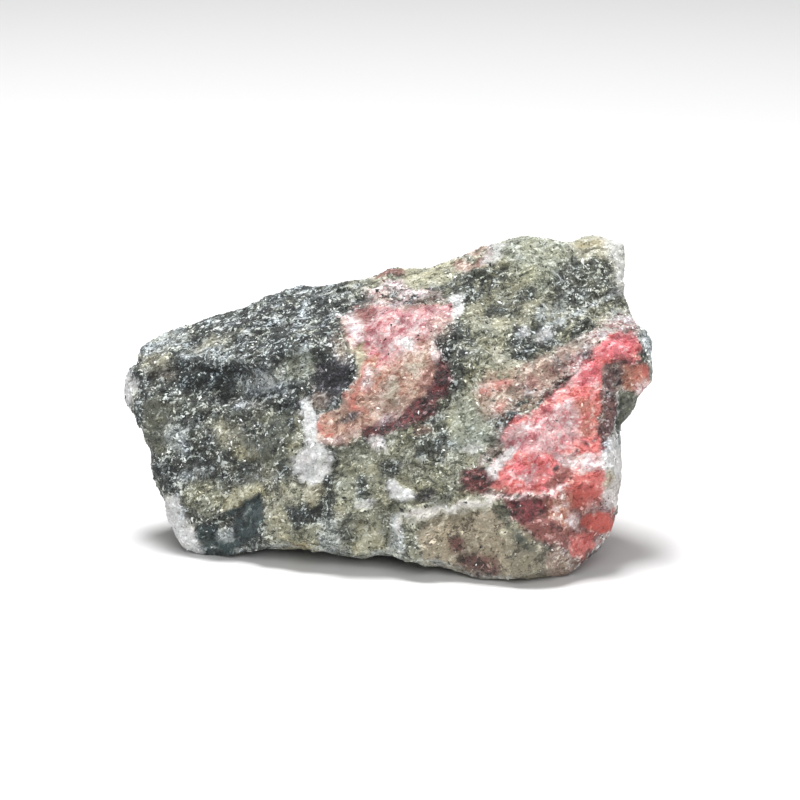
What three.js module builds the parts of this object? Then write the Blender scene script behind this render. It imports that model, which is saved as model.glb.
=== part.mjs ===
// Tugtupite specimen: one broken stone, grey-green matrix with a pink vein and a pink patch.
// It is a single closed solid that rests on three worn feet.
//
// The stone is shaped in the frame of its broad face: u runs to the right, v up the face and
// w straight out of it. The finished solid is then leaned back and stood on the floor, z = 0.

import * as THREE from 'three';
import { ImprovedNoise } from 'three/addons/math/ImprovedNoise.js';
import { mergeVertices } from 'three/addons/utils/BufferGeometryUtils.js';

// ---------------------------------------------------------------- driving dimensions, mm and degrees

const FACE_LEAN = 15;                                  // the broad face leans back from upright
const FACE_ORIGIN = new THREE.Vector3(1.5, -0.5, 14.8); // where u = v = w = 0 stands over the floor

// Outline of the stone across its broad face, from the left tip over the top and round.
const OUTLINE = [
  [-28.1, 1.3], [-27.3, 2.9], [-26.1, 3.3], [-26.0, 5.1], [-24.9, 6.7], [-23.3, 7.5],
  [-17.7, 8.9], [-15.1, 9.5], [-11.4, 11.2], [-9.6, 12.2], [-8.2, 11.6], [-5.6, 11.7],
  [-2.8, 12.2], [-1.1, 13.1], [3.1, 13.1], [9.0, 15.4], [11.5, 16.2], [12.8, 16.4],
  [16.9, 15.4], [18.4, 16.4], [20.0, 16.8], [21.6, 16.5], [22.4, 15.6], [22.2, 10.6],
  [23.0, 8.2], [24.9, 6.5], [25.2, 3.7], [25.1, 1.5], [23.6, 0.9], [23.3, -0.9],
  [21.9, -2.5], [22.2, -7.1], [21.3, -11.2], [21.2, -12.8], [19.8, -14.9], [19.2, -16.0],
  [17.8, -16.8], [15.8, -18.2], [11.1, -18.0], [6.4, -18.2], [5.0, -16.9], [2.0, -15.6],
  [0.3, -16.0], [-1.4, -15.2], [-4.4, -16.0], [-8.2, -14.7], [-12.4, -14.6], [-17.0, -15.5],
  [-20.6, -16.1], [-22.0, -14.6], [-23.0, -12.3], [-23.5, -9.8], [-24.5, -7.5], [-24.7, -5.5],
  [-25.7, -2.5], [-27.6, -0.1],
];
const WORN = 0.12;                // added to the outline for what its worn edges lose
const SIDE_TAPER = 1 / 350;       // the sides close in slightly towards the front
const RIM_BLEND = 0.4;            // radius of the worn edge where the sides meet the faces

// The belt is where the stone is widest: its depth w at (u, v) is base + perU u + perV v.
const BELT = { base: 0.2, perU: 0.12, perV: -0.22 };
const BELT_GUARD = { from: 0.5, to: 5 };              // roughness and chips come in off the belt
const FALL_IN_FRONT = 0.05;                           // how far the sides fall in, per mm off it
const FALL_BEHIND = 0.42;
const FALL_UNDER = { fall: 0.18, from: -5, to: -12 }; // the lower back falls in less

// Behind the belt the sides wander off the outline by up to most, once reach behind it.
const DRIFT = { wave: 10, most: 2.6, reach: 7 };
const DRIFT_SHIFTS = { u: [0, 0, 7], v: [5, 0, -3], steepness: [-9, 2, 0.5] };

// Break faces. Each is a plane through a point (u, v, w), facing turn degrees to the right
// and tilt degrees up; blend is the radius of its worn edge.
const FACES = [
  { name: 'front', at: [0, -6, 9.5], turn: -8, tilt: 10, blend: 1.0 },
  { name: 'front left', at: [-15, -5, 5.2], turn: -25, tilt: -3, blend: 0.8 },
  { name: 'left end', at: [-25.2, -4, 1.0], turn: -62, tilt: -6, blend: 0.8 },
  { name: 'roof', at: [-16, 7.5, -0.5], turn: -32, tilt: 57, blend: 0.7 },
  { name: 'front right', at: [14, 10, 4.0], turn: 8, tilt: 28, blend: 1.0 },
  { name: 'vein face', at: [15, -4, 10.2], turn: 16, tilt: 8, blend: 0.8 },
  { name: 'right end', at: [20.4, -3, 8.8], turn: 66, tilt: 0, blend: 0.8 },
  { name: 'lower right corner', at: [19.0, -12, 8.5], turn: 42, tilt: -14, blend: 0.8 },
  { name: 'lower front', at: [0, -12, 9.7], turn: -13, tilt: -16, blend: 0.7 },
  { name: 'back', at: [0, -2, -15.5], turn: 172, tilt: 9, blend: 1.0 },
  { name: 'back left', at: [-17, 0, -12.5], turn: 218, tilt: 12, blend: 0.8 },
  { name: 'back right', at: [17, 2, -12], turn: 138, tilt: -6, blend: 0.8 },
  { name: 'back top', at: [2, 12.2, -10], turn: 196, tilt: 48, blend: 0.8 },
  { name: 'back foot slope', at: [0, -9.5, -15.5], turn: 184, tilt: -34, blend: 1.0 },
];

// Blunt bosses that stand out of the break faces.
const BOSSES = [
  { name: 'head of the vein', at: [20.6, 3.2, 3.4], radius: 4.6, blend: 1.5 },
];

// The underside clears the floor by rim along the front, by rise more for each mm behind it and
// by most at the middle. The feet, at (x, y) on the floor, come down by drop through it.
const UNDERSIDE = { rim: 0.9, rise: 0.14, most: 2.6, drop: 4.16, blend: 0.5 };
const FEET = [
  { name: 'left foot', at: [-17.5, -4.0], radius: 7.5 },
  { name: 'right foot', at: [12.5, -12.5], radius: 8.0 },
  { name: 'back foot', at: [2.0, 9.0], radius: 7.0 },
];

// Rounded lumps and hollows of the front: centre (u, v), half sizes, turn of the long axis.
const SWELLS = [
  { name: 'hollow under the brow', at: [-17.0, 1.6], size: [9.5, 3.6], turn: -6, rise: -2.0 },
  { name: 'hollow beside the pink patch', at: [-7.0, 1.6], size: [3.6, 4.2], turn: 20, rise: -1.0 },
  { name: 'brow', at: [-17.5, 5.0], size: [8.5, 1.6], turn: -4, rise: 0.6 },
  { name: 'left belly', at: [-17.0, -6.5], size: [7.0, 4.5], turn: 10, rise: 0.7 },
  { name: 'pink patch hollow', at: [1.0, 5.0], size: [5.6, 5.2], turn: 60, rise: -1.1 },
  { name: 'lip above the pink patch', at: [-0.5, 10.2], size: [7.0, 1.3], turn: 4, rise: 0.7 },
  { name: 'pale knob', at: [-8.9, -6.7], size: [2.3, 2.6], turn: 0, rise: 1.5 },
  { name: 'pale strip', at: [-8.9, -1.5], size: [1.3, 3.4], turn: 10, rise: 0.7 },
  { name: 'cream wedge', at: [-16.0, -9.6], size: [5.0, 1.5], turn: 14, rise: 0.9 },
  { name: 'dark green hollow', at: [-16.6, -13.0], size: [4.6, 2.4], turn: 8, rise: -1.3 },
  { name: 'left foot corner', at: [-21.5, -13.6], size: [2.2, 3.0], turn: 20, rise: 0.6 },
  { name: 'chin', at: [-4.5, -13.0], size: [5.5, 2.6], turn: 0, rise: -0.9 },
  { name: 'centre belly', at: [-1.5, -7.0], size: [6.0, 4.0], turn: 15, rise: 0.6 },
  { name: 'pale ridge left', at: [5.5, -10.6], size: [4.8, 1.5], turn: 20, rise: 1.0 },
  { name: 'pale ridge right', at: [13.5, -8.9], size: [5.6, 1.4], turn: 8, rise: 0.9 },
  { name: 'hollow under the ridge', at: [8.0, -13.4], size: [5.5, 2.6], turn: 10, rise: -0.9 },
  { name: 'vein block', at: [16.0, -3.6], size: [7.0, 3.6], turn: 48, rise: 0.7 },
  { name: 'vein top', at: [22.0, 4.6], size: [3.6, 2.4], turn: 40, rise: 1.3 },
  { name: 'hollow over the vein', at: [13.5, 1.8], size: [6.0, 1.8], turn: 30, rise: -0.8 },
  { name: 'right shoulder hollow', at: [20.0, 8.8], size: [4.0, 2.2], turn: -20, rise: -0.8 },
  { name: 'top right swell', at: [13.0, 12.6], size: [5.0, 3.0], turn: 10, rise: 0.7 },
  { name: 'pale hummock', at: [4.5, -3.0], size: [4.5, 2.8], turn: 40, rise: 0.6 },
];
const SWELL_DEPTH = { from: -3, to: 2 };    // depth w over which they fade in towards the front

// Hackly chips all over: small planes tilted off the face they sit on, which end at their radius
// where they fall away. None starts within clear of the belt, and near it each is spare shallower.
const CHIPS = {
  count: 170,
  seed: 11,
  radius: [2.5, 5.5],
  tilt: 11,
  depth: 0.35,
  fall: 1.0,
  blend: 0.25,
  clear: 3,
  spare: 2,
};
// Roughness of the breaks: wavelength and height of each octave.
const ROUGHNESS = [{ wave: 6.5, height: 0.55 }, { wave: 3.0, height: 0.30 }];

// The solid's mesh: a sphere of triangles about the middle, drawn out to the stone's half lengths.
const MIDDLE = new THREE.Vector3(0, 0, -3);
const REACH = new THREE.Vector3(26, 15, 13);
const MESH_DETAIL = 20;                     // cuts along each edge of the starting solid
const EVENING_ROUNDS = 8;                   // rounds that even out the spacing of the corners
const SETTLING_STEPS = 4;
const SLOPE_STEP = 0.1;                     // the step over which a body's slope is measured
const LEAST_SLOPE = 0.5;                    // a gentler slope, squared, counts as this
const EXACTNESS = 0.002;
const FLOOR_TOUCH = 0.03;                   // corners this near the floor are worn flat to it

// ---------------------------------------------------------------- helpers

const radians = THREE.MathUtils.degToRad;
const smoothstep = THREE.MathUtils.smoothstep;
const perlin = new ImprovedNoise();

// The direction that looks turn degrees to the right of w and tilt degrees up from it.
function facing(turn, tilt) {
  const level = Math.cos(radians(tilt));
  return new THREE.Vector3(Math.sin(radians(turn)) * level, Math.sin(radians(tilt)),
    Math.cos(radians(turn)) * level);
}

// The larger of two distances, rounded where they are within radius of each other.
function smoothMax(a, b, radius) {
  const overlap = Math.max(radius - Math.abs(a - b), 0) / radius;
  return Math.max(a, b) + (overlap * overlap * radius) / 4;
}

// The same sequence of numbers from 0 to 1 on every run.
function seededRandom(seed) {
  let state = seed;
  return () => {
    state = (state * 1664525 + 1013904223) % 4294967296;
    return state / 4294967296;
  };
}

// ---------------------------------------------------------------- planes, bosses and placing

const faces = FACES.map((face) => ({
  at: new THREE.Vector3(...face.at),
  normal: facing(face.turn, face.tilt),
  blend: face.blend,
}));
const bosses = BOSSES.map((boss) => ({ ...boss, at: new THREE.Vector3(...boss.at) }));

// Leans the face's frame back and stands it over the floor.
const lean = radians(FACE_LEAN);
const stand = new THREE.Matrix4().makeBasis(
  new THREE.Vector3(1, 0, 0),
  new THREE.Vector3(0, Math.sin(lean), Math.cos(lean)),
  new THREE.Vector3(0, -Math.cos(lean), Math.sin(lean)));
stand.setPosition(FACE_ORIGIN);

// Vectors that the distance functions use again and again.
const offset = new THREE.Vector3();
const standing = new THREE.Vector3();

// ---------------------------------------------------------------- the stone as a distance

// Signed distance in the face plane to the outline, negative inside.
function outlineDistance(u, v) {
  let nearest = Infinity;
  let inside = false;
  for (let i = 0, j = OUTLINE.length - 1; i < OUTLINE.length; j = i, i += 1) {
    const [u1, v1] = OUTLINE[j];
    const [u2, v2] = OUTLINE[i];
    const along = THREE.MathUtils.clamp(
      ((u - u1) * (u2 - u1) + (v - v1) * (v2 - v1)) / ((u2 - u1) ** 2 + (v2 - v1) ** 2), 0, 1);
    nearest = Math.min(nearest, Math.hypot(u - u1 - along * (u2 - u1), v - v1 - along * (v2 - v1)));
    if ((v1 > v) !== (v2 > v) && u < u1 + ((v - v1) / (v2 - v1)) * (u2 - u1)) {
      inside = !inside;
    }
  }
  return inside ? -nearest : nearest;
}

// How far a point lies in front of the belt where the stone is widest.
function offBelt(point) {
  return point.z - (BELT.base + BELT.perU * point.x + BELT.perV * point.y);
}

// How far a point lies outside the break faces and the bosses that stand out of them.
function outsideFaces(point) {
  let distance = -Infinity;
  for (const face of faces) {
    const out = offset.copy(point).sub(face.at).dot(face.normal);
    distance = distance === -Infinity ? out : smoothMax(distance, out, face.blend);
  }
  for (const boss of bosses) {
    distance = -smoothMax(-distance, boss.radius - point.distanceTo(boss.at), boss.blend);
  }
  return distance;
}

// The drift noise at (u, v) and depth w, read at a shift of its own.
function wander(u, v, w, shift) {
  return perlin.noise(u / DRIFT.wave + shift[0], v / DRIFT.wave + shift[1],
    w / DRIFT.wave + shift[2]);
}

// How far a point lies outside the sides, which fall in from the belt to the front and the back.
function outsideRim(point) {
  const spread = 1 + point.z * SIDE_TAPER;
  const off = offBelt(point);
  const drift = DRIFT.most * smoothstep(-off, 0, DRIFT.reach);
  const u = point.x * spread + drift * wander(point.x, point.y, point.z, DRIFT_SHIFTS.u);
  const v = point.y * spread + drift * wander(point.x, point.y, point.z, DRIFT_SHIFTS.v);
  const steepness = FALL_BEHIND * (1 + wander(point.x, point.y, 0, DRIFT_SHIFTS.steepness));
  const low = 1 - smoothstep(point.y, FALL_UNDER.to, FALL_UNDER.from);
  const behind = THREE.MathUtils.lerp(steepness, FALL_UNDER.fall, low);
  return outlineDistance(u, v) - WORN + (off > 0 ? off * FALL_IN_FRONT : -off * behind);
}

// How far a point lies outside the plain broken block, negative inside it.
function outsideBlock(point) {
  return Math.max(outsideFaces(point), outsideRim(point));
}

// Height over the floor of the underside at (x, y).
function clearance(x, y) {
  const [left, right] = FEET;
  const along = (x - left.at[0]) / (right.at[0] - left.at[0]);
  const behind = y - left.at[1] - along * (right.at[1] - left.at[1]);
  let height = THREE.MathUtils.clamp(UNDERSIDE.rim + UNDERSIDE.rise * behind,
    UNDERSIDE.rim, UNDERSIDE.most);
  for (const foot of FEET) {
    const reach = Math.hypot(x - foot.at[0], y - foot.at[1]) / foot.radius;
    height -= UNDERSIDE.drop * Math.max(0, 1 - reach * reach) ** 2;
  }
  return height;
}

// Height of the front's lumps and hollows at (u, v).
function swell(u, v) {
  let height = 0;
  for (const form of SWELLS) {
    const cos = Math.cos(radians(form.turn));
    const sin = Math.sin(radians(form.turn));
    const du = u - form.at[0];
    const dv = v - form.at[1];
    const reach = ((du * cos + dv * sin) / form.size[0]) ** 2
      + ((dv * cos - du * sin) / form.size[1]) ** 2;
    if (reach < 1) height += form.rise * (1 - reach) ** 2;
  }
  return height;
}

// Height of the roughness at a point.
function roughness(point) {
  let height = 0;
  for (const octave of ROUGHNESS) {
    height += octave.height
      * perlin.noise(point.x / octave.wave, point.y / octave.wave, point.z / octave.wave);
  }
  return height;
}

// The point where a ray from the middle of the stone leaves a body.
function exit(direction, outside) {
  const point = new THREE.Vector3();
  let inner = 0;
  let outer = 2 * REACH.x;
  while (outer - inner > EXACTNESS) {
    const middle = (inner + outer) / 2;
    point.copy(direction).multiplyScalar(middle).add(MIDDLE);
    if (outside(point) > 0) outer = middle;
    else inner = middle;
  }
  return point;
}

// How fast a body's distance grows along each axis at a point.
function slope(outside, point) {
  const here = outside(point);
  const { x, y, z } = point;
  const growth = new THREE.Vector3(
    outside(new THREE.Vector3(x + SLOPE_STEP, y, z)) - here,
    outside(new THREE.Vector3(x, y + SLOPE_STEP, z)) - here,
    outside(new THREE.Vector3(x, y, z + SLOPE_STEP)) - here);
  return growth.divideScalar(SLOPE_STEP);
}

// Moves a point that is near a body's surface straight onto it.
function settle(point, outside) {
  for (let step = 0; step < SETTLING_STEPS; step += 1) {
    const distance = outside(point);
    if (Math.abs(distance) < EXACTNESS) break;
    const steepest = slope(outside, point);
    point.addScaledVector(steepest, -distance / Math.max(steepest.lengthSq(), LEAST_SLOPE));
  }
  return point;
}

// Spreads the chips evenly round the block, turning by the golden angle from one to the next.
function makeChips() {
  const random = seededRandom(CHIPS.seed);
  const goldenAngle = Math.PI * (3 - Math.sqrt(5));
  const [least, most] = CHIPS.radius;
  const chips = [];
  for (let i = 0; i < CHIPS.count; i += 1) {
    const height = 1 - (2 * i + 1) / CHIPS.count;
    const level = Math.sqrt(1 - height * height);
    const direction = new THREE.Vector3(
      level * Math.cos(i * goldenAngle), height, level * Math.sin(i * goldenAngle));
    const at = exit(direction.multiply(REACH).normalize(), outsideBlock);
    if (Math.abs(offBelt(at)) > CHIPS.clear) {
      const tilted = new THREE.Vector3(random() - 0.5, random() - 0.5, random() - 0.5)
        .multiplyScalar(2 * Math.tan(radians(CHIPS.tilt)));
      const normal = slope(outsideBlock, at).normalize().add(tilted).normalize();
      at.addScaledVector(normal, -CHIPS.depth * random());
      chips.push({ at, normal, radius: least + (most - least) * random() });
    }
  }
  return chips;
}

const chips = makeChips();

// How far a point lies outside the finished stone, negative inside it.
function outsideStone(point) {
  const offRim = smoothstep(Math.abs(offBelt(point)), BELT_GUARD.from, BELT_GUARD.to);
  const rough = roughness(point);
  let distance = outsideFaces(point) - rough;
  distance -= swell(point.x, point.y) * smoothstep(point.z, SWELL_DEPTH.from, SWELL_DEPTH.to);
  distance = smoothMax(distance, outsideRim(point) - rough * offRim, RIM_BLEND);
  for (const chip of chips) {
    const far = point.distanceTo(chip.at);
    const cut = offset.copy(point).sub(chip.at).dot(chip.normal)
      - CHIPS.fall * Math.max(0, far - chip.radius) - CHIPS.spare * (1 - offRim);
    distance = smoothMax(distance, cut, CHIPS.blend);
  }
  standing.copy(point).applyMatrix4(stand);
  const under = clearance(standing.x, standing.y) + rough - standing.z;
  distance = smoothMax(distance, under, UNDERSIDE.blend);
  return Math.max(distance, -standing.z);
}

// ---------------------------------------------------------------- the solid's mesh

// For each corner of an indexed mesh, the corners that it shares an edge with.
function neighbours(geometry) {
  const around = Array.from({ length: geometry.getAttribute('position').count }, () => new Set());
  const index = geometry.index.array;
  for (let i = 0; i < index.length; i += 3) {
    for (let corner = 0; corner < 3; corner += 1) {
      around[index[i + corner]].add(index[i + (corner + 1) % 3]).add(index[i + (corner + 2) % 3]);
    }
  }
  return around;
}

// A sphere of triangles, each corner laid on the stone. The corners are then moved to the middle
// of their neighbours and settled on the stone again, which spaces them evenly.
function makeStone() {
  const sphere = new THREE.IcosahedronGeometry(1, MESH_DETAIL);
  sphere.deleteAttribute('normal');
  sphere.deleteAttribute('uv');
  const geometry = mergeVertices(sphere, 1e-5);
  const positions = geometry.getAttribute('position');
  const corners = [];
  for (let i = 0; i < positions.count; i += 1) {
    const direction = new THREE.Vector3().fromBufferAttribute(positions, i).multiply(REACH);
    corners.push(exit(direction.normalize(), outsideStone));
  }
  const around = neighbours(geometry);
  for (let round = 0; round < EVENING_ROUNDS; round += 1) {
    corners.forEach((corner, i) => {
      corner.set(0, 0, 0);
      around[i].forEach((other) => corner.add(corners[other]));
      settle(corner.divideScalar(around[i].size), outsideStone);
    });
  }
  corners.forEach((corner, i) => {
    corner.applyMatrix4(stand);
    const height = corner.z < FLOOR_TOUCH ? 0 : corner.z;
    positions.setXYZ(i, corner.x, corner.y, height);
  });
  return geometry;
}

// ---------------------------------------------------------------- the specimen

const stone = makeStone();
stone.computeVertexNormals();
const greyGreenStone = new THREE.MeshStandardMaterial({
  color: 0x8f938a,
  roughness: 0.8,
  metalness: 0,
});
const specimen = new THREE.Mesh(stone, greyGreenStone);
specimen.name = 'specimen';

const group = new THREE.Group();
group.add(specimen);

export default group;
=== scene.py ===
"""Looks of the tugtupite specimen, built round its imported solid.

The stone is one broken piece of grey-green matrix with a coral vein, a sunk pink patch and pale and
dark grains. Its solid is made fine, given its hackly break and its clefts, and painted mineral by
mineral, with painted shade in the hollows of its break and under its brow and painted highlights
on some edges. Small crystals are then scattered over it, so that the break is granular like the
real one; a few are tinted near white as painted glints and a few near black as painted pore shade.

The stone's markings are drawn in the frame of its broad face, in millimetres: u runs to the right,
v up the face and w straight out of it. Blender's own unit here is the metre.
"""

import logging
import math
from dataclasses import dataclass, field
from enum import Enum

import bmesh
import bpy
import numpy as np
from mathutils import Matrix, Vector


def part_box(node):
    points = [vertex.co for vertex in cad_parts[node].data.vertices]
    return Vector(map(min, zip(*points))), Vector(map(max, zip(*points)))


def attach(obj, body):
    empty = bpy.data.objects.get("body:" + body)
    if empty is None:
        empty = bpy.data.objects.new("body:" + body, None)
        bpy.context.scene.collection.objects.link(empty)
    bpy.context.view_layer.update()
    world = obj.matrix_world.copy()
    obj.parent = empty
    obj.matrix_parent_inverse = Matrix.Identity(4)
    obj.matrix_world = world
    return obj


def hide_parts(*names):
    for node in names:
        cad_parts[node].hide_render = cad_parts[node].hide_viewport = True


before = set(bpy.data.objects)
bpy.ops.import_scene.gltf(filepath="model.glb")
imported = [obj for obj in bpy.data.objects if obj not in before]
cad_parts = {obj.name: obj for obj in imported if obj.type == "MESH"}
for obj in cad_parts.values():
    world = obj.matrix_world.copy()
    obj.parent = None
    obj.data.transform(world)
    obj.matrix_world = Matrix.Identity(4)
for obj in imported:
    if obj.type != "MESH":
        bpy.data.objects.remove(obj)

LOG = logging.getLogger("tugtupite")
MM = 0.001
BEDDING_SLOPE = 24.0
BEDDING_SQUEEZE = (0.62, 1.0, 1.0)
# Colours painted onto a few crystals: a near-white glint that stands in for shine, and near black that stands in for
# the shade in a pore.
PAINTED_GLINT = (0.9, 0.92, 0.92, 1.0)
PAINTED_PORE_SHADE = (0.012, 0.015, 0.015, 1.0)
NODE = "specimen"
BODY = "root"

Colour = tuple[int, int, int]
Place = tuple[float, float]
Route = tuple[Place, ...]


# ------------------------------------------------------------------------------ plain helpers


def linear(colour: Colour) -> np.ndarray:
    """Turns a display colour into the light it stands for.

    Args:
        colour: red, green and blue from 0 to 255.

    Returns:
        The three linear amounts from 0 to 1.
    """
    share = np.array(colour, float) / 255
    return np.where(share <= 0.04045, share / 12.92, ((share + 0.055) / 1.055) ** 2.4)


def smoothstep(low: float, high: float, value: np.ndarray) -> np.ndarray:
    """Rises smoothly from 0 to 1 between two values.

    Args:
        low: the value up to which the result is 0.
        high: the value from which the result is 1.
        value: the values to place between them.

    Returns:
        One number from 0 to 1 for each value.
    """
    share = np.clip((value - low) / (high - low), 0, 1)
    return share * share * (3 - 2 * share)


def mix(first: np.ndarray, second: np.ndarray, share: np.ndarray) -> np.ndarray:
    """Blends two arrays of rows, or of single numbers, by a share for each row."""
    share = share if np.ndim(first) == 1 else share[:, None]
    return first + (second - first) * share


# ------------------------------------------------------------------------------ the face's frame


@dataclass(frozen=True)
class FaceFrame:
    """The frame of the stone's broad face, in which its markings are drawn.

    Attributes:
        origin: where u = v = w = 0 lies in the part's frame, in millimetres.
        lean: how far the face leans back from upright, in degrees.
        sight: how far in front of the origin the eye is for which markings are drawn flat.
        belt: depth w at which the stone is widest, as base, per u and per v.
    """

    origin: tuple[float, float, float] = (1.5, -0.5, 14.8)
    lean: float = 15.0
    sight: float = 350.0
    belt: tuple[float, float, float] = (0.2, 0.12, -0.22)

    def axes(self) -> np.ndarray:
        """Returns the directions of u, v and w in the part's frame, one to a row."""
        lean = math.radians(self.lean)
        return np.array([
            (1.0, 0.0, 0.0),
            (0.0, math.sin(lean), math.cos(lean)),
            (0.0, -math.cos(lean), math.sin(lean)),
        ])

    def to_face(self, points: np.ndarray) -> np.ndarray:
        """Takes points of the part's frame, in metres, to the face's, in millimetres."""
        return (points / MM - np.array(self.origin)) @ self.axes().T

    def to_part(self, points: np.ndarray) -> np.ndarray:
        """Takes points of the face's frame, in millimetres, to the part's, in metres."""
        return (points @ self.axes() + np.array(self.origin)) * MM

    def drawn(self, points: np.ndarray) -> np.ndarray:
        """Gives where points show on the face's plane, (u, v), to the eye at sight."""
        return points[:, :2] * (self.sight / (self.sight - points[:, 2]))[:, None]

    def behind_belt(self, points: np.ndarray) -> np.ndarray:
        """Gives how far points lie behind the belt, negative in front of it."""
        base, per_u, per_v = self.belt
        return base + per_u * points[:, 0] + per_v * points[:, 1] - points[:, 2]


# ------------------------------------------------------------------------------ noise in space


class Noise:
    """Seeded noise in space, read at whole arrays of points."""

    SIZE = 512

    def __init__(self, seed: int) -> None:
        """Draws the noise's table of numbers and directions from a seed."""
        draw = np.random.default_rng(seed)
        self.order = draw.permutation(self.SIZE)
        way = draw.normal(size=(self.SIZE, 3))
        self.ways = way / np.linalg.norm(way, axis=1)[:, None]
        self.jitter = draw.random((self.SIZE, 3))

    def _mark(self, cell: np.ndarray) -> np.ndarray:
        """Gives each cell of whole numbers its own entry of the table."""
        last = self.SIZE - 1
        first = self.order[cell[:, 0] & last]
        second = self.order[(first + cell[:, 1]) & last]
        return self.order[(second + cell[:, 2]) & last]

    def smooth(self, points: np.ndarray, wave: float) -> np.ndarray:
        """Gradient noise.

        Args:
            points: rows of x, y and z in millimetres.
            wave: the spacing of its waves.

        Returns:
            About -1 to 1 for each point.
        """
        place = points / wave
        cell = np.floor(place).astype(int)
        part = place - cell
        ease = part * part * part * (part * (part * 6 - 15) + 10)
        total = np.zeros(len(points))
        for corner in np.ndindex(2, 2, 2):
            step = np.array(corner)
            weight = np.prod(np.where(step == 1, ease, 1 - ease), axis=1)
            way = self.ways[self._mark(cell + step)]
            total += weight * np.einsum("ij,ij->i", way, part - step)
        return total * 1.6

    def layered(self, points: np.ndarray, wave: float, layers: int) -> np.ndarray:
        """Sums gradient noise of ever shorter waves.

        Args:
            points: rows of x, y and z in millimetres.
            wave: the spacing of the longest waves.
            layers: how many halvings of the wave are summed.

        Returns:
            About -1 to 1 for each point.
        """
        total = np.zeros(len(points))
        for layer in range(layers):
            shifted = points + 17.3 * layer
            total += self.smooth(shifted, wave / 2**layer) / 2**layer
        return total / 1.5

    def facets(self, points: np.ndarray, size: float, hollow: float, tilt: float) -> np.ndarray:
        """Height of a break of shallow scallops that meet in ridges.

        Args:
            points: rows of x, y and z in millimetres.
            size: the usual width of a scallop.
            hollow: how strongly each scallop is dished.
            tilt: how steeply each scallop leans its own way.

        Returns:
            The height at each point, in millimetres, about 0 in the mean.
        """
        place = points / size
        cell = np.floor(place).astype(int)
        lowest = np.full(len(points), np.inf)
        for corner in np.ndindex(3, 3, 3):
            other = cell + np.array(corner) - 1
            mark = self._mark(other)
            reach = place - other - self.jitter[mark]
            dish = hollow * np.einsum("ij,ij->i", reach, reach)
            lean = tilt * np.einsum("ij,ij->i", reach, self.ways[mark])
            lowest = np.minimum(lowest, dish + lean)
        return (lowest - lowest.mean()) * size


# ------------------------------------------------------------------------------ minerals


class Mineral(Enum):
    """What a stretch of the stone's surface is made of."""

    GREY_MATRIX = "grey matrix"
    DARK_MATRIX = "dark matrix"
    OLIVE_MATRIX = "olive matrix"
    BROWN_MATRIX = "brown matrix"
    GREEN_BACK = "green back"
    PALE_GREEN = "pale green"
    PALE_GREY = "pale grey"
    CREAM = "cream"
    YELLOW_CREAM = "yellow cream"
    BEIGE = "beige"
    SNOW = "snow"
    WHITE = "white"
    PINK_WHITE = "pink white"
    TEAL = "teal"
    CHARCOAL = "charcoal"
    GREY_MAUVE = "grey mauve"
    PALE_PINK = "pale pink"
    ROSE = "rose"
    STRONG_PINK = "strong pink"
    CORAL = "coral"
    CRIMSON = "crimson"
    ORANGE = "orange"
    PEACH = "peach"
    BROWN_PEACH = "brown peach"
    SALMON = "salmon"
    MAUVE = "mauve"
    MAROON = "maroon"
    OCHRE = "ochre"


@dataclass(frozen=True)
class MineralFinish:
    """Colours and grain of one mineral.

    Attributes:
        ground: the colour of most of it.
        pale: the colour of its pale grains.
        dark: the colour of its dark grains.
        pale_share: the share of its grains that are pale.
        dark_share: the share of its grains that are dark.
        grit: 1 for a rough mass of fine grains, 0 for smooth crystals a millimetre across.
    """

    ground: Colour
    pale: Colour
    dark: Colour
    pale_share: float
    dark_share: float
    grit: float


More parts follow.
